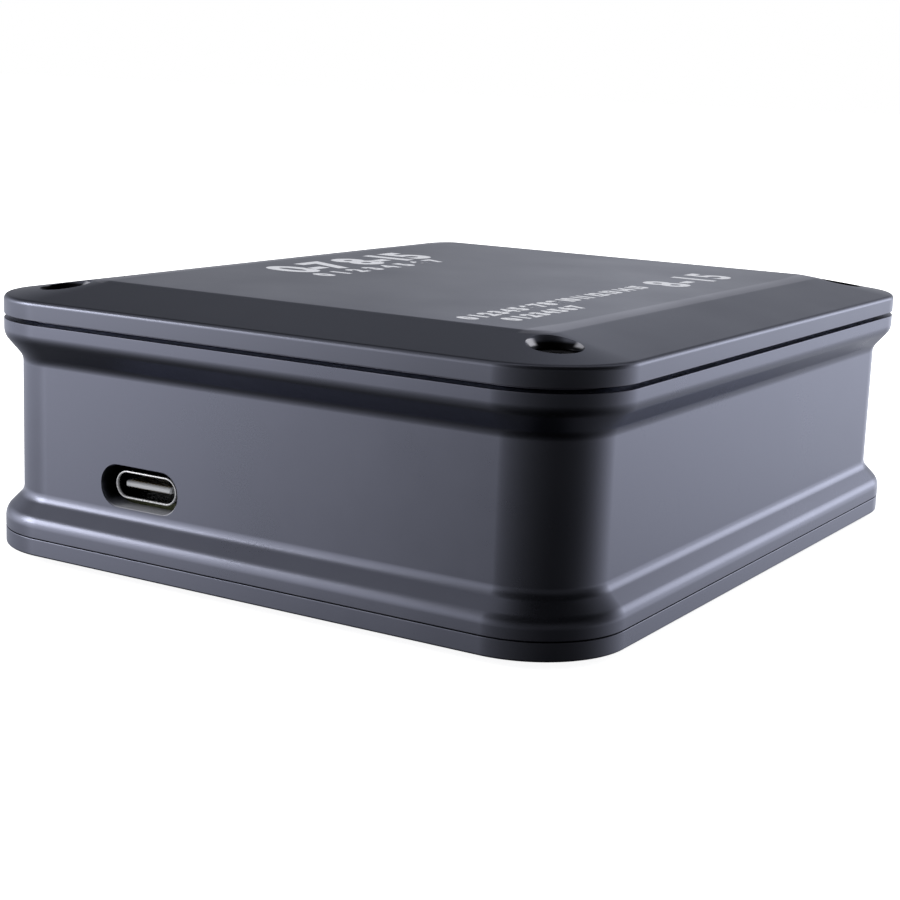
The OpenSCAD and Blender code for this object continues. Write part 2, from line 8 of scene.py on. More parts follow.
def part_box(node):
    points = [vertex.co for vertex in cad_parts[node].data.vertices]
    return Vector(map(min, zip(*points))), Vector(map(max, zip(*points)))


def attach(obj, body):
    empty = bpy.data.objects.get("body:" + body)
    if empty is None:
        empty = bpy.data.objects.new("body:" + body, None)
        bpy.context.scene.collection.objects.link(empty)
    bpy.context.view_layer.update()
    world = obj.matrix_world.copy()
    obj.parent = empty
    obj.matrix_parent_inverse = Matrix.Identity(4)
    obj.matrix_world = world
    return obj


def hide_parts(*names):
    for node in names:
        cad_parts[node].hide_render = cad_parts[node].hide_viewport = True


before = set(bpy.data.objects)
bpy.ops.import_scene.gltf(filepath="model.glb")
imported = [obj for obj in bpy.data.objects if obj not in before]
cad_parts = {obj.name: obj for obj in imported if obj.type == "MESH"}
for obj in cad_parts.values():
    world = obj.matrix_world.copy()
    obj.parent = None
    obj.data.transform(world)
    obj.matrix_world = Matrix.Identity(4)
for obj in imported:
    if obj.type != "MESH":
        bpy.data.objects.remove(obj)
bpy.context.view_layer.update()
scene = bpy.context.scene
mm = 0.001
caseScrewAt = (33.5, 42.0)    # places that several pieces share
boardScrewAt = (30.0, 28.0)
footAt = (27.5, 32.0)
sides = ("left", "right")
print("frame loaded,", len(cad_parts), "nodes")


def boxOf(node):    # a node's two corners, in millimetres
    low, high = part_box(node)
    return low / mm, high / mm


def middleOf(node):
    low, high = boxOf(node)
    return [(a + b) / 2 for a, b in zip(low, high)]


def setAll(thing, **values):
    for key, value in values.items():
        setattr(thing, key, value)
    return thing


def placed(name, data):    # a new object in the scene
    thing = bpy.data.objects.new(name, data)
    scene.collection.objects.link(thing)
    return thing


# Node trees

def operator(operation, reflected=False):
    def run(self, other):
        return self.paint.calc(operation, *((other, self) if reflected else (self, other)))
    return run


class Wire:    # a socket that does sums
    def __init__(self, paint, socket):
        self.paint = paint
        self.socket = socket

    __add__, __radd__ = operator("ADD"), operator("ADD", True)
    __sub__, __rsub__ = operator("SUBTRACT"), operator("SUBTRACT", True)
    __mul__, __rmul__ = operator("MULTIPLY"), operator("MULTIPLY", True)
    __truediv__, __rtruediv__ = operator("DIVIDE"), operator("DIVIDE", True)
    above, below = operator("GREATER_THAN"), operator("LESS_THAN")

    def __abs__(self):
        return self.paint.calc("ABSOLUTE", self)

    def limited(self):
        return self.paint.add("ShaderNodeClamp", {}, {"Value": self})

    def ease(self, low, high):    # 0 below low, 1 above high, smooth between
        return self.paint.add("ShaderNodeMapRange", {"interpolation_type": "SMOOTHSTEP"},
                              {"Value": self, "From Min": low, "From Max": high})


class Paint:
    def __init__(self, name=None, tree=None):
        self.material = None
        if tree is None:
            self.material = bpy.data.materials.new(name)
            self.material.use_nodes = True
            tree = self.material.node_tree
        self.tree = tree
        self.tree.nodes.clear()
        self.places = {}

    def add(self, kind, settings, values, outlet=0):
        node = self.tree.nodes.new(kind)
        for key, value in settings.items():
            if key == "stops":
                self.setStops(node.color_ramp, value)
            else:
                setattr(node, key, value)
        for key, value in values.items():
            self.feed(node.inputs[key], value)
        return Wire(self, node.outputs[outlet]) if len(node.outputs) else node

    def setStops(self, ramp, stops):
        while len(ramp.elements) < len(stops):
            ramp.elements.new(0.5)
        for element, (place, colour) in zip(ramp.elements, stops):
            element.position = place
            element.color = (*colour, 1)

    def feed(self, socket, value):
        if isinstance(value, Wire):
            self.tree.links.new(value.socket, socket)
        elif socket.type == "RGBA" and len(value) == 3:
            socket.default_value = (*value, 1)
        else:
            socket.default_value = value

    def calc(self, operation, *terms):
        return self.add("ShaderNodeMath", {"operation": operation}, dict(enumerate(terms)))

    def apart(self, a, b):
        return self.calc("POWER", a * a + b * b, 0.5)

    def most(self, first, *others):
        for other in others:
            first = self.calc("MAXIMUM", first, other)
        return first

    def mix(self, amount, first, backGlint):
        return self.add("ShaderNodeMix", {"data_type": "RGBA"}, {0: amount, 6: first, 7: backGlint}, 2)

    def place(self, stretch=(1, 1, 1)):    # object coordinates in metres, made once for each stretch
        if stretch not in self.places:
            spot = self.add("ShaderNodeTexCoord", {}, {}, "Object")
            self.places[stretch] = self.add("ShaderNodeMapping", {}, {"Vector": spot, "Scale": stretch})
        return self.places[stretch]

    def split(self, vector):
        node = self.add("ShaderNodeSeparateXYZ", {}, {"Vector": vector}).socket.node
        return [Wire(self, socket) for socket in node.outputs]

    def spot(self):    # x, y and z on the object, in millimetres
        return self.split(self.place((1 / mm, 1 / mm, 1 / mm)))

    def normal(self):
        return self.add("ShaderNodeNewGeometry", {}, {}, "Normal")

    def noise(self, size, detail=2.0, rough=0.5, stretch=(1, 1, 1)):    # size of the grains in millimetres
        return self.add("ShaderNodeTexNoise", {}, {"Vector": self.place(stretch), "Scale": 1 / (size * mm),
                                                   "Detail": detail, "Roughness": rough})

    def cells(self, feature, size, random):
        return self.add("ShaderNodeTexVoronoi", {"feature": feature},
                        {"Vector": self.place(), "Scale": 1 / (size * mm), "Randomness": random})

    def levels(self, value, stops):    # straight lines between stops, each a place from 0 to 1 and a level
        most = max(level for _, level in stops)
        ramp = self.add("ShaderNodeValToRGB", {"stops": [(p, (v / most,) * 3) for p, v in stops]}, {0: value})
        return ramp * most

    def edges(self, radius, gain=5.0):    # 1 on outer and inner edges, from a rounded normal
        softer = self.add("ShaderNodeBevel", {"samples": 6}, {"Radius": radius * mm})
        along = self.add("ShaderNodeVectorMath", {"operation": "DOT_PRODUCT"},
                         {0: softer, 1: self.normal()}, "Value")
        return ((1 - along) * gain).limited()

    def surface(self, colour, metal, rough, bump, more=None):    # bump: height, depth in mm, strength
        values = {"Base Color": colour, "Metallic": metal, "Roughness": rough, **(more or {})}
        if bump:
            height, depth, strength = bump
            values["Normal"] = self.add("ShaderNodeBump", {}, {
                "Height": height, "Distance": depth * mm, "Strength": strength})
        shader = self.add("ShaderNodeBsdfPrincipled", {}, values)
        self.add("ShaderNodeOutputMaterial", {}, {"Surface": shader})
        return self.material


# Finishes; a pair in the marks is where a blend starts and ends, in millimetres

slotLightMark = {
    "middle": (-16.4, 11.0), "ends": (5.9, 6.0), "face": (-47.79, -47.75), "left": (-5.2, -2.8),
    # bare: the colour of the painted light on the slot's floor
    "foot": (-2.8, -2.7), "top": (-1.7, -0.5), "bare": (0.40, 0.405, 0.44),
}


def slotPaintedLight(paint, colour):    # painted light: the floor of the port's slot is made pale and matte, standing in for the light it catches
    s = slotLightMark
    x, y, z = paint.spot()
    sideways, up = x - s["middle"][0], z - s["middle"][1]
    inside = y.ease(*s["face"]) * y.below(0.0) * (1 - abs(sideways).ease(*s["ends"]))
    # painted light: pale and not metallic where the slot's floor catches light, left dark at its left end
    bare = inside * sideways.ease(*s["left"]) * up.ease(*s["foot"]) * (1 - up.ease(*s["top"]))
    return paint.mix(bare, colour, s["bare"]), 1 - bare


coverLightMark = {
    "bandIn": (28.6, 29.3), "bandOut": (30.9, 31.6), "bandTop": (33.12, 33.22), "bandShare": 0.7,
    "spread": (30, 39), "wider": 0.7, "paintedHighlight": (0.50, 0.50, 0.55),
    # mouth, flat, deep and dark: where painted shade darkens each bore, and its colour
    "mouth": (3.38, 3.4), "flat": (0.80, 0.9), "deep": (32.35, 32.7), "dark": (0.008, 0.008, 0.009),
    "arc": (0.93, 1.0), "backGlint": (0.5, 0.87), "secondShare": 0.7, "rim": (2.62, 2.85),
    # bare: the colour of the painted glints at each mouth
    "bare": (0.56, 0.56, 0.60),
}


def coverPaintedLight(paint, colour):    # painted highlight as a paler band along the panel's side edges; painted shade in the bores; painted glints as two pale arcs at each mouth
    s = coverLightMark
    x, y, z = paint.spot()
    out = abs(x)
    spread = out + abs(y).ease(*s["spread"]) * s["wider"]
    # painted highlight: a paler band along the panel's side edges, reaching further in near the corners
    highlightBand = spread.ease(*s["bandIn"]) * (1 - out.ease(*s["bandOut"])) * z.ease(*s["bandTop"])
    alongX = (out - caseScrewAt[0]) * paint.calc("SIGN", x)
    alongY = (abs(y) - caseScrewAt[1]) * paint.calc("SIGN", y)
    away = paint.apart(alongX, alongY)
    tilt = paint.split(paint.normal())[2]
    hole = (1 - away.ease(*s["mouth"])) * (1 - tilt.ease(*s["flat"]))    # not the bevel round it
    backGlint = (alongX * s["backGlint"][0] + alongY * s["backGlint"][1]) / away
    glintArcs = (0 - alongX / away).ease(*s["arc"]) + backGlint.ease(*s["arc"]) * s["secondShare"]
    # painted glints: two pale, matte arcs on the outer part of each bore's broken mouth
    ends = glintArcs * away.ease(*s["rim"]) * hole
    # painted highlight along the panel's side edges
    colour = paint.mix(highlightBand * s["bandShare"], colour, s["paintedHighlight"])
    # painted shade: the bores and their broken mouths are darkened below the bevel
    colour = paint.mix(hole * (1 - z.ease(*s["deep"])), colour, s["dark"])
    # painted glints at the mouths
    return paint.mix(ends, colour, s["bare"]), 1 - ends


blastLook = {"grain": 0.14, "depth": 0.01, "strength": 0.08, "edge": 0.3, "rub": 0.35,
             "bare": (0.50, 0.50, 0.55), "grazing": (0.84, 0.86, 0.93)}


def anodised(name, dark, light, rough, cloudSize, marks):    # bead-blasted, then dyed
    b = blastLook
    paint = Paint(name)
    grain = paint.noise(b["grain"], 4.0, 0.65)
    cloud = paint.noise(cloudSize, 3.0, 0.55)
    rub = paint.edges(b["edge"]) * cloud.ease(0.35, 0.75) * b["rub"]
    colour, metal = marks(paint, paint.mix(rub, paint.mix(cloud, dark, light), b["bare"]))
    return paint.surface(colour, metal, rough + (grain - 0.5) * 0.05 + (cloud - 0.5) * 0.08,
                         (grain, b["depth"], b["strength"]), {"Specular Tint": b["grazing"]})


def blackSteel():
    paint = Paint("blackedSteel")
    scale = paint.noise(0.25, 4.0, 0.65)
    dyed = paint.mix(scale, (0.018, 0.018, 0.020), (0.045, 0.045, 0.050))
    colour = paint.mix(paint.edges(0.12) * 0.5, dyed, (0.32, 0.32, 0.33))
    return paint.surface(colour, 1.0, 0.30 + scale * 0.18, (scale, 0.01, 0.3))


def platedSteel():    # marks run along Y, as the sheet was drawn
    paint = Paint("platedSteel")
    drawn = paint.noise(0.05, 2.0, stretch=(1, 0.05, 1))
    colour = paint.mix(paint.noise(0.6, 3.0), (0.62, 0.62, 0.61), (0.74, 0.73, 0.71))
    return paint.surface(colour, 1.0, 0.20 + drawn * 0.16, (drawn, 0.004, 0.4))


def litAndShadedShell():    # painted highlight: bright and partly matte at the receptacle's mouth; painted shade: dark inside
    paint = Paint("litAndShadedShell")
    spots = paint.noise(0.3, 3.0)
    front = boxOf("usb_shell")[0].y
    inside = paint.spot()[1].ease(front + 0.12, front + 0.5)
    # painted highlight: paler and partly matte at the mouth
    bright = paint.mix(spots, (0.88, 0.88, 0.90), (0.97, 0.97, 0.98))
    # painted shade: dark inside, behind the mouth
    colour = paint.mix(inside, bright, (0.012, 0.012, 0.014))
    return paint.surface(colour, 0.55 + inside * 0.45, 0.22 + spots * 0.1, (spots, 0.004, 0.3))


def goldPlate(name, dark, light):
    paint = Paint(name)
    spots = paint.noise(0.35, 3.0)
    return paint.surface(paint.mix(spots, dark, light), 1.0, 0.22 + spots * 0.14, (spots, 0.004, 0.3))


def mouldedPlastic(name, dark, light):
    paint = Paint(name)
    spark = paint.noise(0.09, 3.0, 0.6)
    flow = paint.noise(3)
    rough = 0.42 + (spark - 0.5) * 0.2 + flow * 0.08
    return paint.surface(paint.mix(flow, dark, light), 0.0, rough, (spark, 0.01, 0.3))


def footRubber():
    paint = Paint("footRubber")
    grain = paint.noise(0.16, 4.0, 0.7)
    dust = paint.noise(2.5, 3.0).ease(0.45, 0.75)
    colour = paint.mix(dust, (0.020, 0.020, 0.021), (0.048, 0.047, 0.046))
    return paint.surface(colour, 0.0, 0.74 + grain * 0.18, (grain, 0.03, 0.5), {"Specular IOR Level": 0.3})


boardLook = {"weave": 0.9, "tracks": 5, "trackWidth": 0.06, "vias": 4, "viaRadius": 0.07, "skin": 0.05}


def circuitBoard():    # tracks and plated vias under the mask, glass weave on the cut rim
    b = boardLook
    low, high = boxOf("main_board")
    paint = Paint("circuitBoard")
    z = paint.spot()[2]
    weave = paint.add("ShaderNodeTexBrick", {"offset": 0.5}, {
        "Vector": paint.place(), "Scale": 1 / (b["weave"] * mm), "Mortar Size": 0.03,
        "Color1": (0.9, 0.9, 0.9), "Color2": (0.7, 0.7, 0.7), "Mortar": (0.3, 0.3, 0.3)})
    tracks = paint.cells("DISTANCE_TO_EDGE", b["tracks"], 0.9).below(b["trackWidth"])
    vias = paint.cells("F1", b["vias"], 1.0).below(b["viaRadius"])
    flat = 1 - (z - low.z).above(b["skin"]) * (high.z - z).above(b["skin"])    # 0 on the cut rim
    mask = paint.mix(tracks, (0.006, 0.060, 0.030), (0.012, 0.115, 0.052))
    face = paint.mix(vias, mask, (0.72, 0.60, 0.34))
    rim = paint.mix(weave, (0.10, 0.12, 0.06), (0.22, 0.24, 0.12))
    return paint.surface(paint.mix(flat, rim, face), vias * flat, 0.30 + (1 - flat) * 0.4,
                         (tracks * flat + vias * flat, 0.03, 0.8), {"Coat Weight": flat * 0.3})


resinShades = ((0.016, 0.016, 0.017), (0.030, 0.030, 0.032))


def chipResin(node, dot=1.0):    # moulded epoxy with a moulded dot by its first contact
    low, high = boxOf(node)
    paint = Paint("chipResin." + node)
    grain = paint.noise(0.07, 3.0, 0.6)
    x, y, z = paint.spot()
    side = min(high.x - low.x, high.y - low.y)
    away = paint.apart(x - (low.x + side * 0.16), y - (low.y + side * 0.16))
    ring = away.below(side * 0.055) * (z - high.z).above(-0.1) * dot
    colour = paint.mix(ring, paint.mix(grain, *resinShades), (0.075, 0.075, 0.078))
    return paint.surface(colour, 0.0, 0.50 + grain * 0.15 - ring * 0.2, (grain - ring * 2, 0.012, 0.5))


def padSilicone():
    paint = Paint("padSilicone")
    fibre = paint.noise(0.3, 4.0, stretch=(1, 4, 1))
    colour = paint.mix(fibre, (0.20, 0.26, 0.33), (0.32, 0.38, 0.45))
    return paint.surface(colour, 0.0, 0.6 + paint.noise(0.2) * 0.15, (fibre, 0.03, 0.5))


def blackAluminium():    # extruded along Y, then dyed black
    paint = Paint("blackAluminium")
    drawn = paint.noise(0.12, 3.0, stretch=(1, 0.02, 1))
    dyed = paint.mix(drawn, (0.020, 0.020, 0.023), (0.042, 0.042, 0.047))
    colour = paint.mix(paint.edges(0.15) * 0.4, dyed, (0.35, 0.35, 0.36))
    return paint.surface(colour, 0.9, 0.34 + drawn * 0.2, (drawn, 0.012, 0.5))


def ferrite(node):    # pressed powder, with pale contacts low on its sides
    paint = Paint("ferrite." + node)
    powder = paint.noise(0.12, 5.0, 0.7)
    y, z = paint.spot()[1:]
    contact = (z - boxOf(node)[0].z).below(0.5) * abs(y - middleOf(node)[1]).below(1.6)
    body = paint.mix(powder, (0.040, 0.040, 0.043), (0.095, 0.095, 0.100))
    return paint.surface(paint.mix(contact, body, (0.70, 0.68, 0.64)), contact,
                         0.55 + powder * 0.25 - contact * 0.3, (powder, 0.03, 0.6))


def tinEnded(name, shades, axis, rows, half):    # tinned outside half on either side of each row
    paint = Paint(name)
    powder = paint.noise(0.1, 4.0)
    along = paint.spot()["xy".index(axis)]
    bare = paint.most(*[abs(along - row).below(half) for row in rows])
    colour = paint.mix(bare, (0.72, 0.70, 0.67), paint.mix(powder, *shades))
    return paint.surface(colour, 1 - bare, 0.34 + bare * 0.22 + powder * 0.1, (powder, 0.015, 0.5))


def whiteInk():
    paint = Paint("whiteInk")
    fleck = paint.noise(0.12, 4.0, 0.7)
    colour = paint.mix(fleck.ease(0.3, 0.75), (0.66, 0.67, 0.71), (0.78, 0.79, 0.83))
    return paint.surface(colour, 0.0, 0.5 + fleck * 0.2, (fleck, 0.004, 0.4))


finishes = {    # one for each material slot of the plain pieces
    "anodised_case": anodised(
        "blastedCase", (0.182, 0.190, 0.240), (0.206, 0.215, 0.270), 0.29, 9, slotPaintedLight),
    "anodised_cover": anodised(
        "blastedCover", (0.170, 0.178, 0.220), (0.190, 0.198, 0.246), 0.30, 12, coverPaintedLight),
    "black_steel": blackSteel(),
    "plated_steel": platedSteel(),
    "gold_contacts": goldPlate("goldPlate", (0.78, 0.52, 0.18), (0.90, 0.66, 0.28)),
    "connector_plastic": mouldedPlastic("mouldedPlastic", (0.012, 0.012, 0.013), (0.022, 0.022, 0.024)),
    "tongue_plastic": mouldedPlastic("tonguePlastic", (0.50, 0.51, 0.53), (0.60, 0.61, 0.63)),
    "foot_rubber": footRubber(),
    "circuit_board": circuitBoard(),
    "pad_silicone": padSilicone(),
    "black_aluminium": blackAluminium(),
}
print("finishes made,", len(bpy.data.materials), "materials")


# Shapes, in millimetres

def newPiece(name, verts, faces):
    mesh = bpy.data.meshes.new(name)
    mesh.from_pydata([Vector(v) * mm for v in verts], [], faces)
    shape = bmesh.new()
    shape.from_mesh(mesh)
    bmesh.ops.recalc_face_normals(shape, faces=shape.faces)
    shape.to_mesh(mesh)
    shape.free()
    return placed(name, mesh)


def joinRings(rings, loop=False):    # skin from ring to ring, closed by the first ring or by end caps
    verts, faces, starts = [], [], []
    for ring in rings:
        starts.append(len(verts))
        verts += ring
    last = len(rings) - 1
    pairs = list(zip(range(last), range(1, last + 1)))
    if loop:
        pairs.append((last, 0))
    for a, b in pairs:
        na, nb = len(rings[a]), len(rings[b])
        for k in range(max(na, nb)):
            n = (k + 1) % max(na, nb)
            quad = [starts[a] + k % na, starts[a] + n % na, starts[b] + n % nb, starts[b] + k % nb]
            faces.append(list(dict.fromkeys(quad)))
    if not loop:
        for i in (0, last):
            if len(rings[i]) > 2:
                faces.append([starts[i] + k for k in range(len(rings[i]))])
    return verts, faces


def joined(name, shapes):    # one piece of several shapes
    verts, faces = [], []
    for moreVerts, moreFaces in shapes:
        start = len(verts)
        verts += moreVerts
        faces += [[start + i for i in face] for face in moreFaces]
    return newPiece(name, verts, faces)


def turned(profile, steps=48, centre=(0, 0)):    # radius and height pairs; a radius may change with direction
    rings = []
    for radius, height in profile:
        ring = []
        for k in range(steps if radius else 1):
            turn = 2 * pi * k / steps
            r = radius(turn) if callable(radius) else radius
            ring.append((centre[0] + r * cos(turn), centre[1] + r * sin(turn), height))
        rings.append(ring)
    return joinRings(rings)


def turnedTool(*jobs):    # each job gives places, a profile and its steps
    return joined("tool", [turned(profile, steps, place)
                           for places, profile, steps in jobs for place in places])


def hexagon(apothem):    # radius of a hexagon in each direction
    return lambda turn: apothem / cos((turn + pi / 6) % (pi / 3) - pi / 6)


def softened(points, radius, steps=3, loop=False):    # rounds each sharp corner of a profile
    made = []
    for i, here in enumerate(points):
        here = Vector(here)
        ways = [Vector(points[j % len(points)]) - here for j in (i - 1, i + 1)]
        if not loop and i in (0, len(points) - 1) or ways[0].angle(ways[1]) > radians(172):
            made.append(tuple(here))    # an end, or straight enough already
            continue
        start, end = (here + way.normalized() * min(radius, way.length * 0.45) for way in ways)
        for k in range(steps + 1):
            t = k / steps
            made.append(tuple(start * (1 - t) ** 2 + here * 2 * t * (1 - t) + end * t * t))
    return made


def arc(x, y, r, start, end, steps):    # points round x and y, between two directions in degrees
    turns = [radians(start + (end - start) * k / steps) for k in range(steps + 1)]
    return [(x + r * cos(turn), y + r * sin(turn)) for turn in turns]


def stadium(width, height, steps=16):
    r, reach = height / 2, (width - height) / 2
    return arc(reach, 0, r, -90, 90, steps) + arc(-reach, 0, r, 90, 270, steps)


def rounded(width, height, r, steps=4):
    a, b = width / 2 - r, height / 2 - r
    return [point for x, y, start in ((a, -b, -90), (a, b, 0), (-a, b, 90), (-a, -b, 180))
            for point in arc(x, y, r, start, start + 90, steps)]


def section(points, y, at=(0, 0), grow=0.0):    # an outline that stands in an XZ plane
    return [(at[0] + x + copysign(grow, x), y, at[1] + z + copysign(grow, z)) for x, z in points]


def cut(piece, tool, operation="DIFFERENCE"):
    setAll(piece.modifiers.new("cut", "BOOLEAN"), operation=operation, solver="EXACT", object=tool)
    bake(piece)
    bpy.data.objects.remove(tool)


def evaluated(piece):    # a plain mesh of the piece as its modifiers or its letters leave it
    bpy.context.view_layer.update()
    return bpy.data.meshes.new_from_object(piece.evaluated_get(bpy.context.evaluated_depsgraph_get()))


def bake(piece):
    made = evaluated(piece)
    made.name = piece.name
    piece.modifiers.clear()
    piece.data = made


def dress(piece, nodes, slot, finish=None, sharp=30):
    piece.data.materials.clear()
    piece.data.materials.append(finish or finishes[slot])
    piece.data.shade_smooth()
    piece.data.set_sharp_from_angle(angle=radians(sharp))
    setAll(piece.modifiers.new("even", "WEIGHTED_NORMAL"), keep_sharp=True)
    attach(piece, "root")
    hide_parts(*nodes)


def refined(node, tag, slot, finish, width, segments=2):    # a merged copy of a node with broken edges
    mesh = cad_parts[node].data.copy()
    shape = bmesh.new()
    shape.from_mesh(mesh)
    bmesh.ops.remove_doubles(shape, verts=shape.verts, dist=1e-6)
    bmesh.ops.dissolve_limit(shape, angle_limit=radians(1), verts=shape.verts, edges=shape.edges)
    shape.to_mesh(mesh)
    shape.free()
    piece = placed(node + tag, mesh)
    setAll(piece.modifiers.new("edge", "BEVEL"), width=width * mm, segments=segments,
           limit_method="ANGLE", angle_limit=radians(40), use_clamp_overlap=True)
    bake(piece)
    dress(piece, [node], slot, finish, 35)


# Case

caseSize = {
    "cornerRadius": 11.0, "wall": 2.6,
    "waistIn": 2.2, "shoulderRadius": 2.0, "filletRadius": 1.8,
    "lowFlange": 1.25, "lowSweep": 3.8, "highFlange": 1.6, "highSweep": 4.0,
    "topSeam": 0.36, "bottomSeam": 0.1, "seamDepth": 2.3,
    "edgeRound": 0.09, "cornerSteps": 24, "arcSteps": 10,
    "postRadius": 4.0, "postBreak": 0.15, "boreRadius": 1.3, "topBore": 10, "lowBore": 8,
    "slot": (11.2, 4.9), "slotFlare": 0.1, "windowGap": 0.3, "windowCorner": 0.25, "windowFlare": 0.15,
    "lipGap": 0.2, "lipWidth": 1.2, "screwHole": 1.45,    # the covers' locating lips and clearance holes
    "over": 0.5,    # how far a cutting tool reaches past a face
}
frameLow, frameHigh = boxOf("body_frame")
coverLow, coverHigh = boxOf("top_cover")
bottomLow, bottomHigh = boxOf("bottom_cover")
halfWidth, halfDepth = frameHigh.x, frameHigh.y
outerLip = caseSize["waistIn"] + caseSize["wall"] + caseSize["lipGap"]    # how far in from the sides
innerLip = outerLip + caseSize["lipWidth"]


def caseRing(z, inX, inY, r):    # an outline at height z, set in from the case's sides
    points = rounded(2 * (halfWidth - inX), 2 * (halfDepth - inY), r, caseSize["cornerSteps"])
    return [(x, y, z) for x, y in points]


def caseRings(profile):
    return [caseRing(z, inset, inset, caseSize["cornerRadius"] - inset) for inset, z in profile]


def corners(place):
    return [(sx * place[0], sy * place[1]) for sx in (-1, 1) for sy in (-1, 1)]


def sweepCurve(z, rise, height):    # shoulder, flat and fillet, from a flange's end at z to the waist
    waistIn, shoulder, fillet = (caseSize[k] for k in ("waistIn", "shoulderRadius", "filletRadius"))
    run = fillet + shoulder - waistIn
    bend = atan2(height, run) - acos(min(1, (fillet + shoulder) / hypot(height, run)))
    bend, steps = rise * degrees(bend), caseSize["arcSteps"]
    return (arc(shoulder, z, shoulder, 180, 180 - bend, steps)
            + arc(waistIn - fillet, z + rise * height, fillet, -bend, 0, steps))


def bore(radius, mouth, depth, up):    # a bore with its mouth broken at 45 degrees, open towards up
    return [(0, mouth + 0.3 * up), (radius + 0.5, mouth + 0.3 * up), (radius, mouth - 0.2 * up),
            (radius, mouth - depth * up), (0, mouth - depth * up)]


def opening(piece, points, at, faceY, outward, flare):    # cut through a wall, with its outer edge broken
    depth = caseSize["wall"] + caseSize["over"]
    cut(piece, newPiece("tool", *joinRings([
        section(points, faceY + outward * step, at, grow)
        for step, grow in ((-depth, 0.0), (-flare, 0.0), (0.0, flare), (1.0, flare + 1.0))])))


def makeFrame():
    s = caseSize
    low, high, seam = frameLow.z, frameHigh.z, s["seamDepth"]
    profile = [(seam, low), (seam, low + s["bottomSeam"]), (0, low + s["bottomSeam"])]
    profile += sweepCurve(low + s["lowFlange"], 1, s["lowSweep"])
    profile += sweepCurve(high - s["highFlange"], -1, s["highSweep"])[::-1]
    profile += [(0, high - s["topSeam"]), (seam, high - s["topSeam"]), (seam, high)]
    cavityIn = s["waistIn"] + s["wall"]
    profile = softened(profile + [(cavityIn, high), (cavityIn, low)], s["edgeRound"], 3, True)
    piece = newPiece("body_frame_shell", *joinRings(caseRings(profile), True))
    r, edge, top = s["postRadius"], s["postBreak"], coverLow.z
    post = [(0, low), (r, low), (r, top - edge), (r - edge, top), (0, top)]
    cut(piece, turnedTool((corners(caseScrewAt), post, 48)), "UNION")
    cut(piece, turnedTool((corners(caseScrewAt), bore(s["boreRadius"], top, s["topBore"], 1), 32),
                          (corners(caseScrewAt), bore(s["boreRadius"], low, s["lowBore"], -1), 32)))
    waistY = halfDepth - s["waistIn"]
    opening(piece, stadium(*s["slot"]), usbMiddle(), -waistY, -1, s["slotFlare"])
    for side in sides:
        a, b = boxOf("probe_shroud_" + side)
        x, _, z = middleOf("probe_shroud_" + side)
        gap = 2 * s["windowGap"]
        points = rounded(b.x - a.x + gap, b.z - a.z + gap, s["windowCorner"])
        opening(piece, points, (x, z), waistY, 1, s["windowFlare"])
    dress(piece, ["body_frame"], "anodised_case")


coverSize = {
    "rimHeight": 2.45, "rimRound": 0.6, "rimTurn": 79, "rimSteps": 6, "bevelFoot": (0.15, 0.02),
    "seamRise": 0.15,
    "panelInset": (11.4, 10.4), "panelCorner": 2.4, "panelThickness": 2.4,
    "panelEdge": [    # growth in x and y and fall below the panel: soft at the sides, crisp front and back
        (1.4, 1.28, 0.25), (0.7, 0.72, 0.14), (0.0, 0.30, 0.062), (-0.7, 0.05, 0.016), (-1.4, -0.15, 0.0)],
    "edgeBreak": 0.1, "bossSink": 0.2,
    "holeRadius": 2.45, "mouthDown": 1.5, "mouthBreak": 0.05, "holeFlare": 3,
    "inkGap": 0.012,    # the ink lies above this and ends at the cover's full height
}


def bossReach(place):    # a boss's radius in each direction, flattened where the lip's outline stops it
    corner = caseSize["cornerRadius"]
    arcX, arcY = halfWidth - corner, halfDepth - corner

    def inside(x, y):
        square = x <= arcX or y <= arcY or hypot(x - arcX, y - arcY) <= corner - outerLip
        return halfWidth - x >= outerLip and halfDepth - y >= outerLip and square

    def reach(turn):
        r = caseSize["postRadius"]
        while r > 1.5 and not inside(abs(place[0] + r * cos(turn)), abs(place[1] + r * sin(turn))):
            r -= 0.02
        return r

    return reach


def makeTopCover():
    s = coverSize
    under, base, seam, (inX, inset) = coverLow.z, frameHigh.z, caseSize["seamDepth"], s["panelInset"]
    rimZ, rise, r = base + s["rimHeight"], base + s["seamRise"], s["rimRound"]
    profile = [(inset, coverHigh.z - s["panelThickness"]), (inset, base), (innerLip, base), (innerLip, under),
               (outerLip, under), (outerLip, base), (seam, base), (seam, rise), (0, rise), (0, rimZ)]
    profile = softened(profile, s["edgeBreak"])[:-1]
    profile += arc(r, rimZ - r, r, 180, 180 - s["rimTurn"], s["rimSteps"])    # until it lies in the bevel
    profile.append((s["bevelFoot"][0] + r, rimZ + s["bevelFoot"][1]))
    top = coverHigh.z - s["inkGap"]
    panel = [caseRing(top - fall, inX - x, inset - y, s["panelCorner"] + x) for x, y, fall in s["panelEdge"]]
    piece = newPiece("top_cover_plate", *joinRings(caseRings(profile) + panel))
    bosses = []
    for place in corners(caseScrewAt):
        reach, end = bossReach(place), base + s["bossSink"]
        bosses.append(([place], [(0, under), (reach, under), (reach, end), (0, end)], 96))
    cut(piece, turnedTool(*bosses), "UNION")
    seat = boxOf("top_screws")[1].z - screwSize["headHeight"]
    mouth, edge, flare = coverHigh.z - s["mouthDown"], s["mouthBreak"], s["holeFlare"]
    start, shank, hole = under - caseSize["over"], caseSize["screwHole"], s["holeRadius"]
    cut(piece, turnedTool((corners(caseScrewAt), [
        (0, start), (shank, start), (shank, seat), (hole, seat), (hole, mouth - edge),
        (hole + edge, mouth + edge), (hole + flare, mouth + flare), (0, mouth + flare)], 72)))
    dress(piece, ["top_cover"], "anodised_cover")


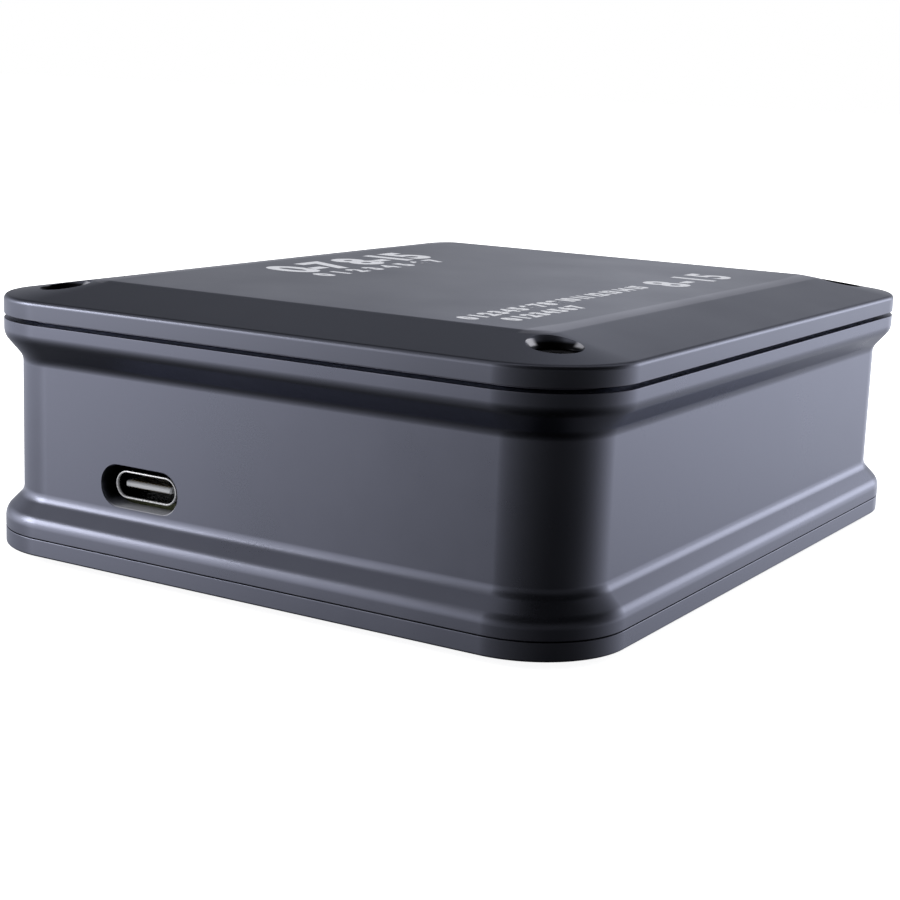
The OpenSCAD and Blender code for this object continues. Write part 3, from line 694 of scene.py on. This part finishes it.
bottomSize = {"edgeBreak": 0.15, "softEdge": 0.1, "lipHeight": 1.5, "bossRadius": 3.0, "bossFoot": 0.3,
              "boardBore": 3.4, "closedAt": 9, "headRadius": 2.45, "postGap": 0.2,
              "footHole": 5.2, "footRecess": 0.4, "footFlare": 0.6}


def makeBottomCover():
    s = bottomSize
    foot, top, over = bottomLow.z, frameLow.z, caseSize["over"]
    edge, soft, lip = s["edgeBreak"], s["softEdge"], top + s["lipHeight"]
    profile = softened([(s["closedAt"], foot), (edge, foot), (0, foot + edge), (0, top), (outerLip, top),
                        (outerLip, lip), (innerLip, lip), (innerLip, top), (s["closedAt"], top)], soft)
    piece = newPiece("bottom_cover_plate", *joinRings(caseRings(profile)))
    r, wide, end = s["bossRadius"], s["bossFoot"], bottomHigh.z
    boss = [(0, top - over), (r + wide, top - over), (r + wide, top), (r, top + wide), (r, end - soft),
            (r - soft, end), (0, end)]
    cut(piece, turnedTool((corners(boardScrewAt), boss, 40)), "UNION")
    r, start = caseSize["boreRadius"], end - s["boardBore"]
    boardBore = [(0, start), (r, start), (r, end + over), (0, end + over)]
    cut(piece, turnedTool((corners(boardScrewAt), boardBore, 32)))
    head, shank, post = s["headRadius"], caseSize["screwHole"], caseSize["postRadius"] + s["postGap"]
    sunk = [(0, foot - over), (head + over, foot - over), (head, foot), (shank, foot + head - shank),
            (shank, top), (post, top), (post, lip + over), (0, lip + over)]
    r, depth = s["footHole"], foot + s["footRecess"]
    recess = [(0, foot - over), (r + s["footFlare"], foot - over), (r, foot + soft), (r, depth), (0, depth)]
    cut(piece, turnedTool((corners(caseScrewAt), sunk, 48), (corners(footAt), recess, 64)))
    dress(piece, ["bottom_cover"], "anodised_case", sharp=40)


usbSize = {
    "width": 8.94, "height": 3.26, "sheet": 0.2, "lip": 0.07, "play": 0.02,
    "legTop": 0.6, "legTip": 0.35, "legBack": 1, "blockEdge": 0.1, "backThick": 2.4,
    "tongueWidth": 6.69, "tongueThick": 0.7, "tongueIn": 0.4, "tongueCorner": 0.12,
    "contacts": 12, "contactStep": 0.5, "contactWidth": 0.25, "contactThick": 0.08, "contactEnd": 0.15,
}


def usbMiddle():    # of the receptacle's mouth, in x and z
    return middleOf("usb_shell")[0], boxOf("usb_shell")[1].z - usbSize["height"] / 2


makeFrame()
makeBottomCover()
print("frame and bottom cover made")


# What repeats

def repeatTree():    # columns and rows of one shape, each copy turned a little at random
    tree = bpy.data.node_groups.new("repeat", "GeometryNodeTree")
    for name, kind, value in (("Shape", "Geometry", None), ("Columns", "Int", 1), ("Rows", "Int", 1),
                              ("Column Step", "Float", 0.01), ("Row Step", "Float", 0.01),
                              ("Turn", "Float", 0.0), ("Seed", "Int", 7), ("Finish", "Material", None)):
        socket = tree.interface.new_socket(name, in_out="INPUT", socket_type="NodeSocket" + kind)
        if value is not None:
            socket.default_value = value
    tree.interface.new_socket("Shape", in_out="OUTPUT", socket_type="NodeSocketGeometry")
    paint = Paint(tree=tree)
    inputs = tree.nodes.new("NodeGroupInput")
    given = {socket.name: Wire(paint, socket) for socket in inputs.outputs if socket.name}
    spots = paint.add("GeometryNodeMeshGrid", {}, {
        "Size X": given["Column Step"] * (given["Columns"] - 1), "Vertices X": given["Columns"],
        "Size Y": given["Row Step"] * (given["Rows"] - 1), "Vertices Y": given["Rows"]})
    turn = paint.add("FunctionNodeRandomValue", {"data_type": "FLOAT"},
                     {2: 0 - given["Turn"], 3: given["Turn"], "Seed": given["Seed"]}, 1)
    copies = paint.add("GeometryNodeInstanceOnPoints", {}, {
        "Points": spots, "Instance": given["Shape"],
        "Rotation": paint.add("ShaderNodeCombineXYZ", {}, {"Z": turn})})
    solid = paint.add("GeometryNodeRealizeInstances", {}, {"Geometry": copies})
    painted = paint.add("GeometryNodeSetMaterial", {}, {"Geometry": solid, "Material": given["Finish"]})
    paint.add("NodeGroupOutput", {}, {0: painted})
    return tree


repeater = repeatTree()


def repeated(piece, sizes, move, finish):    # runs the tree on a shape, then moves the result to its place
    change = piece.modifiers.new("repeat", "NODES")
    change.node_group = repeater
    keys = {item.name: item.identifier for item in repeater.interface.items_tree
            if item.item_type == "SOCKET" and item.in_out == "INPUT"}
    for name, value in {**sizes, "Finish": finish}.items():
        change[keys[name]] = value
    bake(piece)
    piece.data.transform(Matrix.Translation(Vector(move) * mm))


# Screws, and the top cover that the socket heads sink into

screwSize = {"headRadius": 2.25, "headHeight": 2.5, "shankRadius": 1.25, "socket": 0.98, "socketDepth": 1.2,
             "knurls": 24, "knurlDepth": 0.05, "threadPitch": 0.45, "threadDepth": 0.2,
             "flatRadius": 2.35, "flatSocket": 0.65, "panRadius": 2.25, "panHeight": 1.6, "crossDepth": 1.2,
             "turn": 1.5, "seed": 11}


def thread(length, start=0.0):    # ridges from just under the head down to the tip, at start
    s = screwSize
    r, points, z = s["shankRadius"], [], start + length - 0.6
    while z > start + 0.5:
        points += [(r, z), (r - s["threadDepth"], z - s["threadPitch"] / 2)]
        z -= s["threadPitch"]
    return points + [(r - 0.25, start + 0.3), (r - 0.55, start), (0, start)]


def screws(name, node, profile, steps, place, seed, slot):    # one at each corner
    s = screwSize
    piece = newPiece(name, *turned(profile, steps))
    repeated(piece, {"Columns": 2, "Rows": 2, "Column Step": 2 * place[0] * mm, "Row Step": 2 * place[1] * mm,
                     "Turn": s["turn"], "Seed": s["seed"] + seed}, (0, 0, boxOf(node)[0].z), finishes[slot])
    dress(piece, [node], slot)


def tall(node):
    low, high = boxOf(node)
    return high.z - low.z


def makeTopScrews():    # knurled heads with a hexagon socket
    s = screwSize
    top = tall("top_screws")
    seat, r, shank = top - s["headHeight"], s["headRadius"], s["shankRadius"]
    hexed, deep = hexagon(s["socket"]), top - s["socketDepth"]

    def knurled(turn):
        return r - s["knurlDepth"] * (1 - cos(turn * s["knurls"]))

    profile = [(0, deep - 0.25), (hexed, deep), (hexed, top - 0.12), (s["socket"] + 0.28, top),
               (r - 0.3, top), (r - 0.1, top - 0.1), (knurled, top - 0.3), (knurled, seat + 0.12),
               (r - 0.15, seat), (shank + 0.05, seat), (shank, seat - 0.15)]
    screws("top_cap_screws", "top_screws", profile + thread(seat), 96, caseScrewAt, 0, "black_steel")


def makeBottomScrews():    # countersunk, drawn head down
    s = screwSize
    length, hexed, r = tall("bottom_screws"), hexagon(s["flatSocket"]), s["flatRadius"]
    cone = r - s["shankRadius"]
    profile = [(0, -1.25), (hexed, -1.05), (hexed, -0.1), (s["flatSocket"] + 0.18, 0), (r - 0.08, 0),
               (r, -0.1), (s["shankRadius"], -cone)] + thread(length - cone, -length)
    profile = [(radius, -z) for radius, z in profile]
    screws("bottom_flat_screws", "bottom_screws", profile, 48, caseScrewAt, 1, "black_steel")


def makeBoardScrews():    # pan heads with a cross recess
    s = screwSize
    top, r = tall("board_screws"), s["panRadius"]
    seat, deep = top - s["panHeight"], top - s["crossDepth"]

    def cross(turn):    # four lobes
        return 0.42 + 0.85 * abs(cos(2 * turn)) ** 3

    profile = [(0, deep), (lambda t: 0.5 * cross(t), deep + 0.2), (cross, top - 0.08), (r - 0.8, top),
               (r - 0.45, top - 0.1), (r - 0.15, top - 0.4), (r, top - 0.9), (r, seat + 0.1), (r - 0.1, seat),
               (s["shankRadius"] + 0.05, seat), (s["shankRadius"], seat - 0.1)]
    screws("board_pan_screws", "board_screws", profile + thread(seat), 64, boardScrewAt, 2, "plated_steel")


makeTopCover()
makeTopScrews()
makeBottomScrews()
makeBoardScrews()
print("top cover and screws made")


# Feet

footSize = {"edge": 0.35, "dish": 0.12, "dishRadius": 3.6, "topEdge": 0.1}


def makeFoot(node):
    s = footSize
    low, high = boxOf(node)
    r, dish, top, edge = (high.x - low.x) / 2, s["dishRadius"], high.z, s["topEdge"]
    profile = [(0, s["dish"]), (dish - 0.3, s["dish"]), (dish, 0)]
    profile += softened([(dish + 0.1, 0), (r, 0), (r, 1)], s["edge"], 6)[1:-1]
    profile += [(r, top - edge), (r - edge, top), (0, top)]
    dress(newPiece(node + "_pad", *turned(profile, 72, middleOf(node)[:2])), [node], "foot_rubber")


for end in ("front", "rear"):
    for side in sides:
        makeFoot("foot_" + end + "_" + side)
print("feet made")


# Receptacle

def makeUsb():
    s = usbSize
    low, high = boxOf("usb_shell")
    front, back = low.y, high.y
    x, z = at = usbMiddle()
    w, h, t, lip = s["width"], s["height"], s["sheet"], s["lip"]

    def pill(steps, *rings):    # skin of growing and shrinking stadiums
        return [section(stadium(w + 2 * grow, h + 2 * grow, steps), y, at) for y, grow in rings]

    shell = newPiece("usb_shell_sheet", *joinRings(pill(
        20, (front + lip, 0), (front + lip * 0.3, -lip * 0.3), (front, -lip), (front, -t + lip),
        (front + lip * 0.6, -t + lip * 0.2), (front + lip * 1.6, -t), (back - 0.05, -t), (back, -t + 0.05),
        (back, -0.05), (back - 0.05, 0)), True))
    square = ((-1, -1), (1, -1), (1, 1), (-1, 1))
    legs = []
    for legX in (x - (w - t) / 2, x + (w - t) / 2):
        for legY in ((front + back) / 2, back - s["legBack"]):
            legs.append(joinRings([
                [(legX + a * wide * t, legY + b * deep, level) for a, b in square]
                for level, wide, deep in ((z - s["legTop"], 0.49, 0.5), (low.z + s["legTip"], 0.49, 0.5),
                                          (low.z, 0.4, 0.3))]))
    cut(shell, joined("legs", legs), "UNION")
    dress(shell, ["usb_shell"], "plated_steel", litAndShadedShell())

    inner, step, root = -t - s["play"] / 2, s["blockEdge"], back - s["backThick"]
    tongue = newPiece("usb_tongue_block", *joinRings(pill(
        16, (back, inner), (root + step, inner), (root, inner - step))))
    start = front + s["tongueIn"]
    cut(tongue, newPiece("blade", *joinRings([
        section(rounded(s["tongueWidth"] + wide, s["tongueThick"] + thick, s["tongueCorner"]), y, at)
        for y, wide, thick in ((start, -0.3, -0.34), (start + 0.12, -0.08, -0.12), (start + 0.3, 0, 0),
                               (root + 0.5, 0, 0))])), "UNION")
    dress(tongue, ["usb_tongue"], "tongue_plastic")

    first, last = (corner.y for corner in boxOf("usb_contacts"))
    width, thick, end = s["contactWidth"], s["contactThick"], s["contactEnd"]
    strips = []
    for side in (-1, 1):
        level = z + side * (s["tongueThick"] + thick) / 2
        strips.append(joinRings([
            section(rounded(width * share, thick * share, 0.02, 2), y, (0, level))
            for y, share in ((first, 0.6), (first + end, 1), (last - end, 1), (last, 0.6))]))
    contacts = joined("usb_contact_strips", strips)
    # painted shade: the contacts get a darker copy of the gold, for the shade they sit in
    shadedGold = goldPlate("shadedContactGold", (0.24, 0.18, 0.09), (0.34, 0.26, 0.14))
    repeated(contacts, {"Columns": s["contacts"], "Column Step": s["contactStep"] * mm}, (x, 0, 0), shadedGold)
    dress(contacts, ["usb_contacts"], "gold_contacts", shadedGold)


makeUsb()
print("receptacle made")


# Probe headers

pinSize = {"thick": 0.64, "edge": 0.05, "pitch": 2.54, "columns": 8, "bendRadius": 0.55, "bendSteps": 5,
           "tip": 0.45, "tails": 0.5, "points": 0.45}


def makePins(node):
    s = pinSize
    low, high = boxOf(node)
    half, r, quarter = s["thick"] / 2, s["bendRadius"], pi / 2
    square = rounded(s["thick"], s["thick"], s["edge"], 1)
    rows = []
    for inward in (s["pitch"], 0):    # the lower row's bend lies inside the upper row's
        y, z = low.y + half + inward, high.z - half - inward
        path = [(y, low.z, quarter, s["tails"]), (y, low.z + s["tip"], quarter, 1)]
        for k, (bendY, bendZ) in enumerate(arc(y + r, z - r, r, 180, 90, s["bendSteps"])):
            path.append((bendY, bendZ, quarter * (1 - k / s["bendSteps"]), 1))
        path += [(high.y - s["tip"], z, 0, 1), (high.y, z, 0, s["points"])]
        rows.append(joinRings([    # each point of the path gives y, z, tilt and size
            [(a * size, y - b * size * sin(tilt), z + b * size * cos(tilt)) for a, b in square]
            for y, z, tilt, size in path]))
    piece = joined(node + "_bent", rows)
    repeated(piece, {"Columns": s["columns"], "Column Step": s["pitch"] * mm}, (middleOf(node)[0], 0, 0),
             finishes["gold_contacts"])
    dress(piece, [node], "gold_contacts", sharp=40)


for side in sides:
    makePins("probe_pins_" + side)
for side in sides:
    refined("probe_shroud_" + side, "_moulded", "connector_plastic", None, 0.15)
print("headers made")


# Board and what stands on it

boardSize = {    # widths of broken edges, and the bare middles of the parts with tinned ends
    "panel": 0.06, "pad": 0.08, "sink": 0.12, "chip": 0.08, "coil": 0.25, "flash": 0.06, "can": 0.1,
    "ceramic": 0.06, "esd": 0.06, "resistor": 0.05, "flashHalf": 2.02, "ceramicHalf": 0.5,
}


def capacitorRows():    # middles of the rows of ceramic capacitors, front to back
    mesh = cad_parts["ceramic_capacitors"].data
    levels = sorted({round(v.co.y / mm, 2) for v in mesh.vertices})
    return [(a + b) / 2 for a, b in zip(levels[::2], levels[1::2])]


def makeBoard():
    s = boardSize
    refined("main_board", "_panel", "circuit_board", None, s["panel"], 1)
    refined("thermal_pad", "_sheet", "pad_silicone", None, s["pad"])
    refined("heat_sink", "_extrusion", "black_aluminium", None, s["sink"])
    chips = ["fpga", "sdram", "usb_controller"] + ["comparator_%d" % n for n in (1, 2, 3, 4)]
    for node in chips + ["regulator_1", "regulator_2"]:
        refined(node, "_package", "chip_resin", chipResin(node), s["chip"])
    for node in ("inductor_1", "inductor_2", "inductor_3"):
        refined(node, "_block", "ferrite", ferrite(node), s["coil"], 3)
    flash = tinEnded("flashResin", resinShades, "x", [middleOf("config_flash")[0]], s["flashHalf"])
    refined("config_flash", "_package", "chip_resin", flash, s["flash"])
    refined("oscillator", "_can", "plated_steel", None, s["can"], 3)
    tan = ((0.36, 0.25, 0.13), (0.48, 0.35, 0.20))
    tan = tinEnded("ceramic", tan, "y", capacitorRows(), s["ceramicHalf"])
    refined("ceramic_capacitors", "_blocks", "capacitor_body", tan, s["ceramic"])
    for node, edge in (("esd_arrays", s["esd"]), ("resistor_arrays", s["resistor"])):
        refined(node, "_packages", "chip_resin", chipResin(node, 0.0), edge)


bulkSize = {"base": 0.8, "corner": 1.3, "groove": 0.9, "grooveDepth": 0.22, "canEdge": 0.35,
            "segmentFrom": 1.3}


def canFinish(node):    # bare aluminium can, with the dark segment on its top and a black base
    low, high = boxOf(node)
    paint = Paint("can." + node)
    y, z = paint.spot()[1:]
    spun = paint.noise(0.08, 2.0, stretch=(1, 1, 0.05))
    segment = (z - high.z).above(-0.2) * (y - middleOf(node)[1]).above(bulkSize["segmentFrom"])
    dark = paint.most(segment, (z - low.z).below(bulkSize["base"]))
    bare = paint.mix(spun, (0.60, 0.60, 0.61), (0.74, 0.74, 0.75))
    colour = paint.mix(dark, bare, (0.015, 0.015, 0.016))
    return paint.surface(colour, 1 - dark, 0.26 + spun * 0.14 + dark * 0.2, (spun, 0.006, 0.4))


def makeBulkCapacitor(node):    # a grooved can on a base with two cut corners
    s = bulkSize
    low, high = boxOf(node)
    x, y, _ = middleOf(node)
    half, base = (high.x - low.x) / 2, s["base"]
    cutAt = half - s["corner"]
    plan = [(-half, -half), (half, -half), (half, cutAt), (cutAt, half), (-cutAt, half), (-half, cutAt)]
    block = joinRings([[(x + a * share, y + b * share, low.z + up) for a, b in plan]
                       for up, share in ((0, 0.985), (0.06, 1), (base - 0.08, 1), (base, 0.98))])
    r, up, top = half - 0.1, low.z + base, high.z
    neck, groove = r - s["grooveDepth"], up + s["groove"]
    can = [(0, up), (r - 0.1, up), (r, up + 0.1), (r, groove), (neck, groove + 0.2), (neck, groove + 0.4),
           (r, groove + 0.6)]
    can += softened([(r, top - 1), (r, top), (0.5, top)], s["canEdge"], 6)[1:-1]
    can += [(r - 0.6, top), (r - 0.7, top - 0.05), (0, top - 0.05)]
    piece = joined(node + "_can", [block, turned(can, 56, (x, y))])
    dress(piece, [node], "plated_steel", canFinish(node), 32)


makeBoard()
makeBulkCapacitor("bulk_capacitor_1")
makeBulkCapacitor("bulk_capacitor_2")
print("board made")


# Plain channel numbers on the panel, read from the right side

printSize = {
    "thick": 0.01, "digitShare": 0.73,    # height of a figure as a share of the font's size
    "lines": [    # text, height, boldness, spacing, x of its foot, first y
        ("0-7 8-15", 7.2, 0.8, 0.95, -18.0, -14.5),
        ("0 1 2 3 4 5 6 7", 2.8, 0.5, 1.2, -13.7, -15.0),
        ("8-15", 6.1, 0.5, 1.2, 23.3, 10.2),
        ("0 1 2 3 4 5 6 7 8 9 10 11 12 13 14 15", 2.3, 0.42, 0.93, 20.6, -37.0),
        ("0 1 2 3 4 5 6 7", 2.2, 0.42, 0.93, 24.4, -34.2)],
}


def makeNumbers():
    s = printSize
    top = coverHigh.z - s["thick"] / 2
    lines = []
    for text, height, bold, spacing, foot, start in s["lines"]:
        letters = placed("figures", setAll(
            bpy.data.curves.new("figures", "FONT"), body=text, size=height * mm / s["digitShare"],
            space_character=spacing, offset=bold * mm / 2, extrude=s["thick"] * mm / 2, resolution_u=6))
        mesh = evaluated(letters)
        points = [(foot - v.co.y / mm, start + v.co.x / mm, top + v.co.z / mm) for v in mesh.vertices]
        lines.append((points, [list(p.vertices) for p in mesh.polygons]))
        bpy.data.objects.remove(letters)
        bpy.data.meshes.remove(mesh)
    piece = joined("channel_numbers", lines)
    piece.data.materials.append(whiteInk())
    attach(piece, "root")


makeNumbers()
print("numbers made")


# Floor, world, lights and camera

studio = {
    "floorSide": 8.0, "floor": (0.88, 0.88, 0.88), "cloud": 60, "cloudShare": 1.03,
    "nearLift": 0.88, "farLift": 1.0, "liftFrom": 0.02, "liftTo": 0.25,
    "below": [    # level of the surroundings under the horizon, for each direction in degrees round the case
        (-180, 1.5), (-170, 1.4), (-158, 0.9), (-90, 0.8), (-60, 0.7), (-52, 0.95), (-48, 1.55), (-44, 1.75),
        (-41.5, 1.15), (-38, 0.82), (-34, 0.53), (-30, 0.35), (-20, 0.25), (-9, 0.20), (11, 0.11), (32, 0.06),
        (52, 0.035), (75, 0.05), (93, 0.10), (112, 0.27), (126, 0.54), (145, 0.94), (154, 1.18), (158, 1.18),
        (162, 1.08), (168, 1.1), (174, 1.4), (180, 1.5)],
    "above": [    # the same over the horizon
        (-180, 0.62), (-165, 0.61), (-160, 0.61), (-156, 0.84), (-150, 0.66), (-146, 0.54), (-141, 0.55),
        (-132, 0.34), (-110, 0.5), (-80, 1.6), (-66, 1.8), (-60, 1.4), (-48, 1.75), (-44, 1.95), (-38, 1.5),
        (-33, 0.8), (-28, 0.44), (-9, 0.18), (11, 0.08), (32, 0.06), (75, 0.06), (93, 0.06), (112, 0.07),
        (126, 0.18), (145, 0.8), (154, 1.85), (160, 2.2), (168, 2.1), (174, 0.9), (180, 0.62)],
    "horizon": (-0.16, 0.04),    # between these heights the one passes into the other
    "heights": [    # share of that level at each height of the direction, from straight down to straight up
        (-1.0, 0.05), (-0.85, 0.06), (-0.6, 0.15), (-0.42, 0.35), (-0.28, 0.60), (-0.2, 0.90), (-0.14, 1.2),
        (-0.06, 0.96), (0.02, 0.96), (0.1, 1.05), (0.24, 0.80), (0.36, 0.50), (0.46, 0.22), (0.56, 0.16),
        (0.7, 0.24), (0.85, 0.17), (1.0, 0.3)],
    "plain": 0.7, "tint": (0.98, 0.985, 1.01),
    "lamps": [    # name, azimuth, elevation, distance, side, level, and whether metal mirrors it
        ("softLeft", -54, 21, 0.9, 0.32, 5.6, True), ("softRight", 155, 10, 0.9, 0.26, 1.0, True),
        ("softTop", 200, 80, 1.0, 0.9, 1.2, False)],
    "camera": {"azimuth": 31.0, "elevation": 11.6, "roll": 2.2, "at": (119.6, -205.4, 59.2), "lens": 73.64},
}


def rays(paint, *kinds):    # 1 on a ray of any of these kinds
    parts = [paint.add("ShaderNodeLightPath", {}, {}, kind) for kind in kinds]
    return sum(parts[1:], parts[0]).limited()


def makeFloor():
    s = studio
    half = s["floorSide"] / 2
    mesh = bpy.data.meshes.new("floor")
    plan = [(-half, -half, 0), (half, -half, 0), (half, half, 0), (-half, half, 0)]
    mesh.from_pydata(plan, [], [(0, 1, 2, 3)])
    floor = placed("floor", mesh)
    paint = Paint("paleFloor")
    x, y = paint.split(paint.place())[:2]
    beside = paint.apart(paint.most(abs(x) - halfWidth * mm, 0.0), paint.most(abs(y) - halfDepth * mm, 0.0))
    lift = s["nearLift"] + beside.ease(s["liftFrom"], s["liftTo"]) * (s["farLift"] - s["nearLift"])
    seen = rays(paint, "Is Camera Ray", "Is Glossy Ray", "Is Transmission Ray")
    paler = tuple(c * s["cloudShare"] for c in s["floor"])
    glow = paint.mix(seen * lift, (0, 0, 0), (1, 1, 1))
    mesh.materials.append(paint.surface(
        paint.mix(paint.noise(s["cloud"]), s["floor"], paler), 0.0, 0.95, None,
        {"Specular IOR Level": 0.0, "Emission Color": glow, "Emission Strength": 1.0}))
    floor.visible_glossy = False    # the metal shows the world's levels under the horizon in its place


def makeSky():    # levels all round, as large soft boxes and black flags give; white where the camera sees it
    s = studio
    world = bpy.data.worlds.new("studio")
    world.use_nodes = True
    scene.world = world
    paint = Paint(tree=world.node_tree)
    x, y, z = paint.split(paint.add("ShaderNodeTexCoord", {}, {}, "Generated"))
    turn = paint.calc("ARCTAN2", x, 0 - y) / (2 * pi) + 0.5
    below, above = (paint.levels(turn, [(a / 360 + 0.5, v) for a, v in s[k]]) for k in ("below", "above"))
    height = paint.levels(z * 0.5 + 0.5, [(h / 2 + 0.5, v) for h, v in s["heights"]])
    over = z.ease(*s["horizon"])
    level = (below * (1 - over) + above * over) * height
    seen = rays(paint, "Is Camera Ray")
    mirrored = rays(paint, "Is Glossy Ray", "Is Transmission Ray")
    rest = level * mirrored + s["plain"] * (1 - mirrored)
    shade = paint.add("ShaderNodeBackground", {}, {
        "Color": paint.mix(seen, s["tint"], (1, 1, 1)), "Strength": rest * (1 - seen) + seen})
    world.cycles.sampling_method = "NONE"    # a ray's kind holds only where it meets the world by itself
    paint.add("ShaderNodeOutputWorld", {}, {"Surface": shade})


def towards(azimuth, elevation):
    a, e = radians(azimuth), radians(elevation)
    return Vector((sin(a) * cos(e), -cos(a) * cos(e), sin(e)))


def makeLamp(name, azimuth, elevation, distance, side, level, glossy):
    light = bpy.data.lights.new(name, "AREA")
    setAll(light, shape="SQUARE", size=side, energy=level * pi * side * side)
    back = towards(azimuth, elevation)
    setAll(placed(name, light), location=back * distance, visible_glossy=glossy, visible_camera=False,
           rotation_euler=back.to_track_quat("Z", "Y").to_euler())


def makeCamera():
    view = studio["camera"]
    back, roll = towards(view["azimuth"], view["elevation"]), radians(view["roll"])
    right = (-back).cross(Vector((0, 0, 1))).normalized()
    up = right.cross(-back)
    across = right * cos(roll) + up * sin(roll)
    over = up * cos(roll) - right * sin(roll)
    data = setAll(bpy.data.cameras.new("camera"), lens=view["lens"], sensor_width=36, clip_start=0.01)
    camera = placed("camera", data)
    turn = Matrix((across, over, back)).transposed().to_4x4()
    camera.matrix_world = Matrix.Translation(Vector(view["at"]) * mm) @ turn
    scene.camera = camera


makeFloor()
makeSky()
for lamp in studio["lamps"]:
    makeLamp(*lamp)
makeCamera()
scene.view_settings.view_transform = "Standard"
print("stage made")
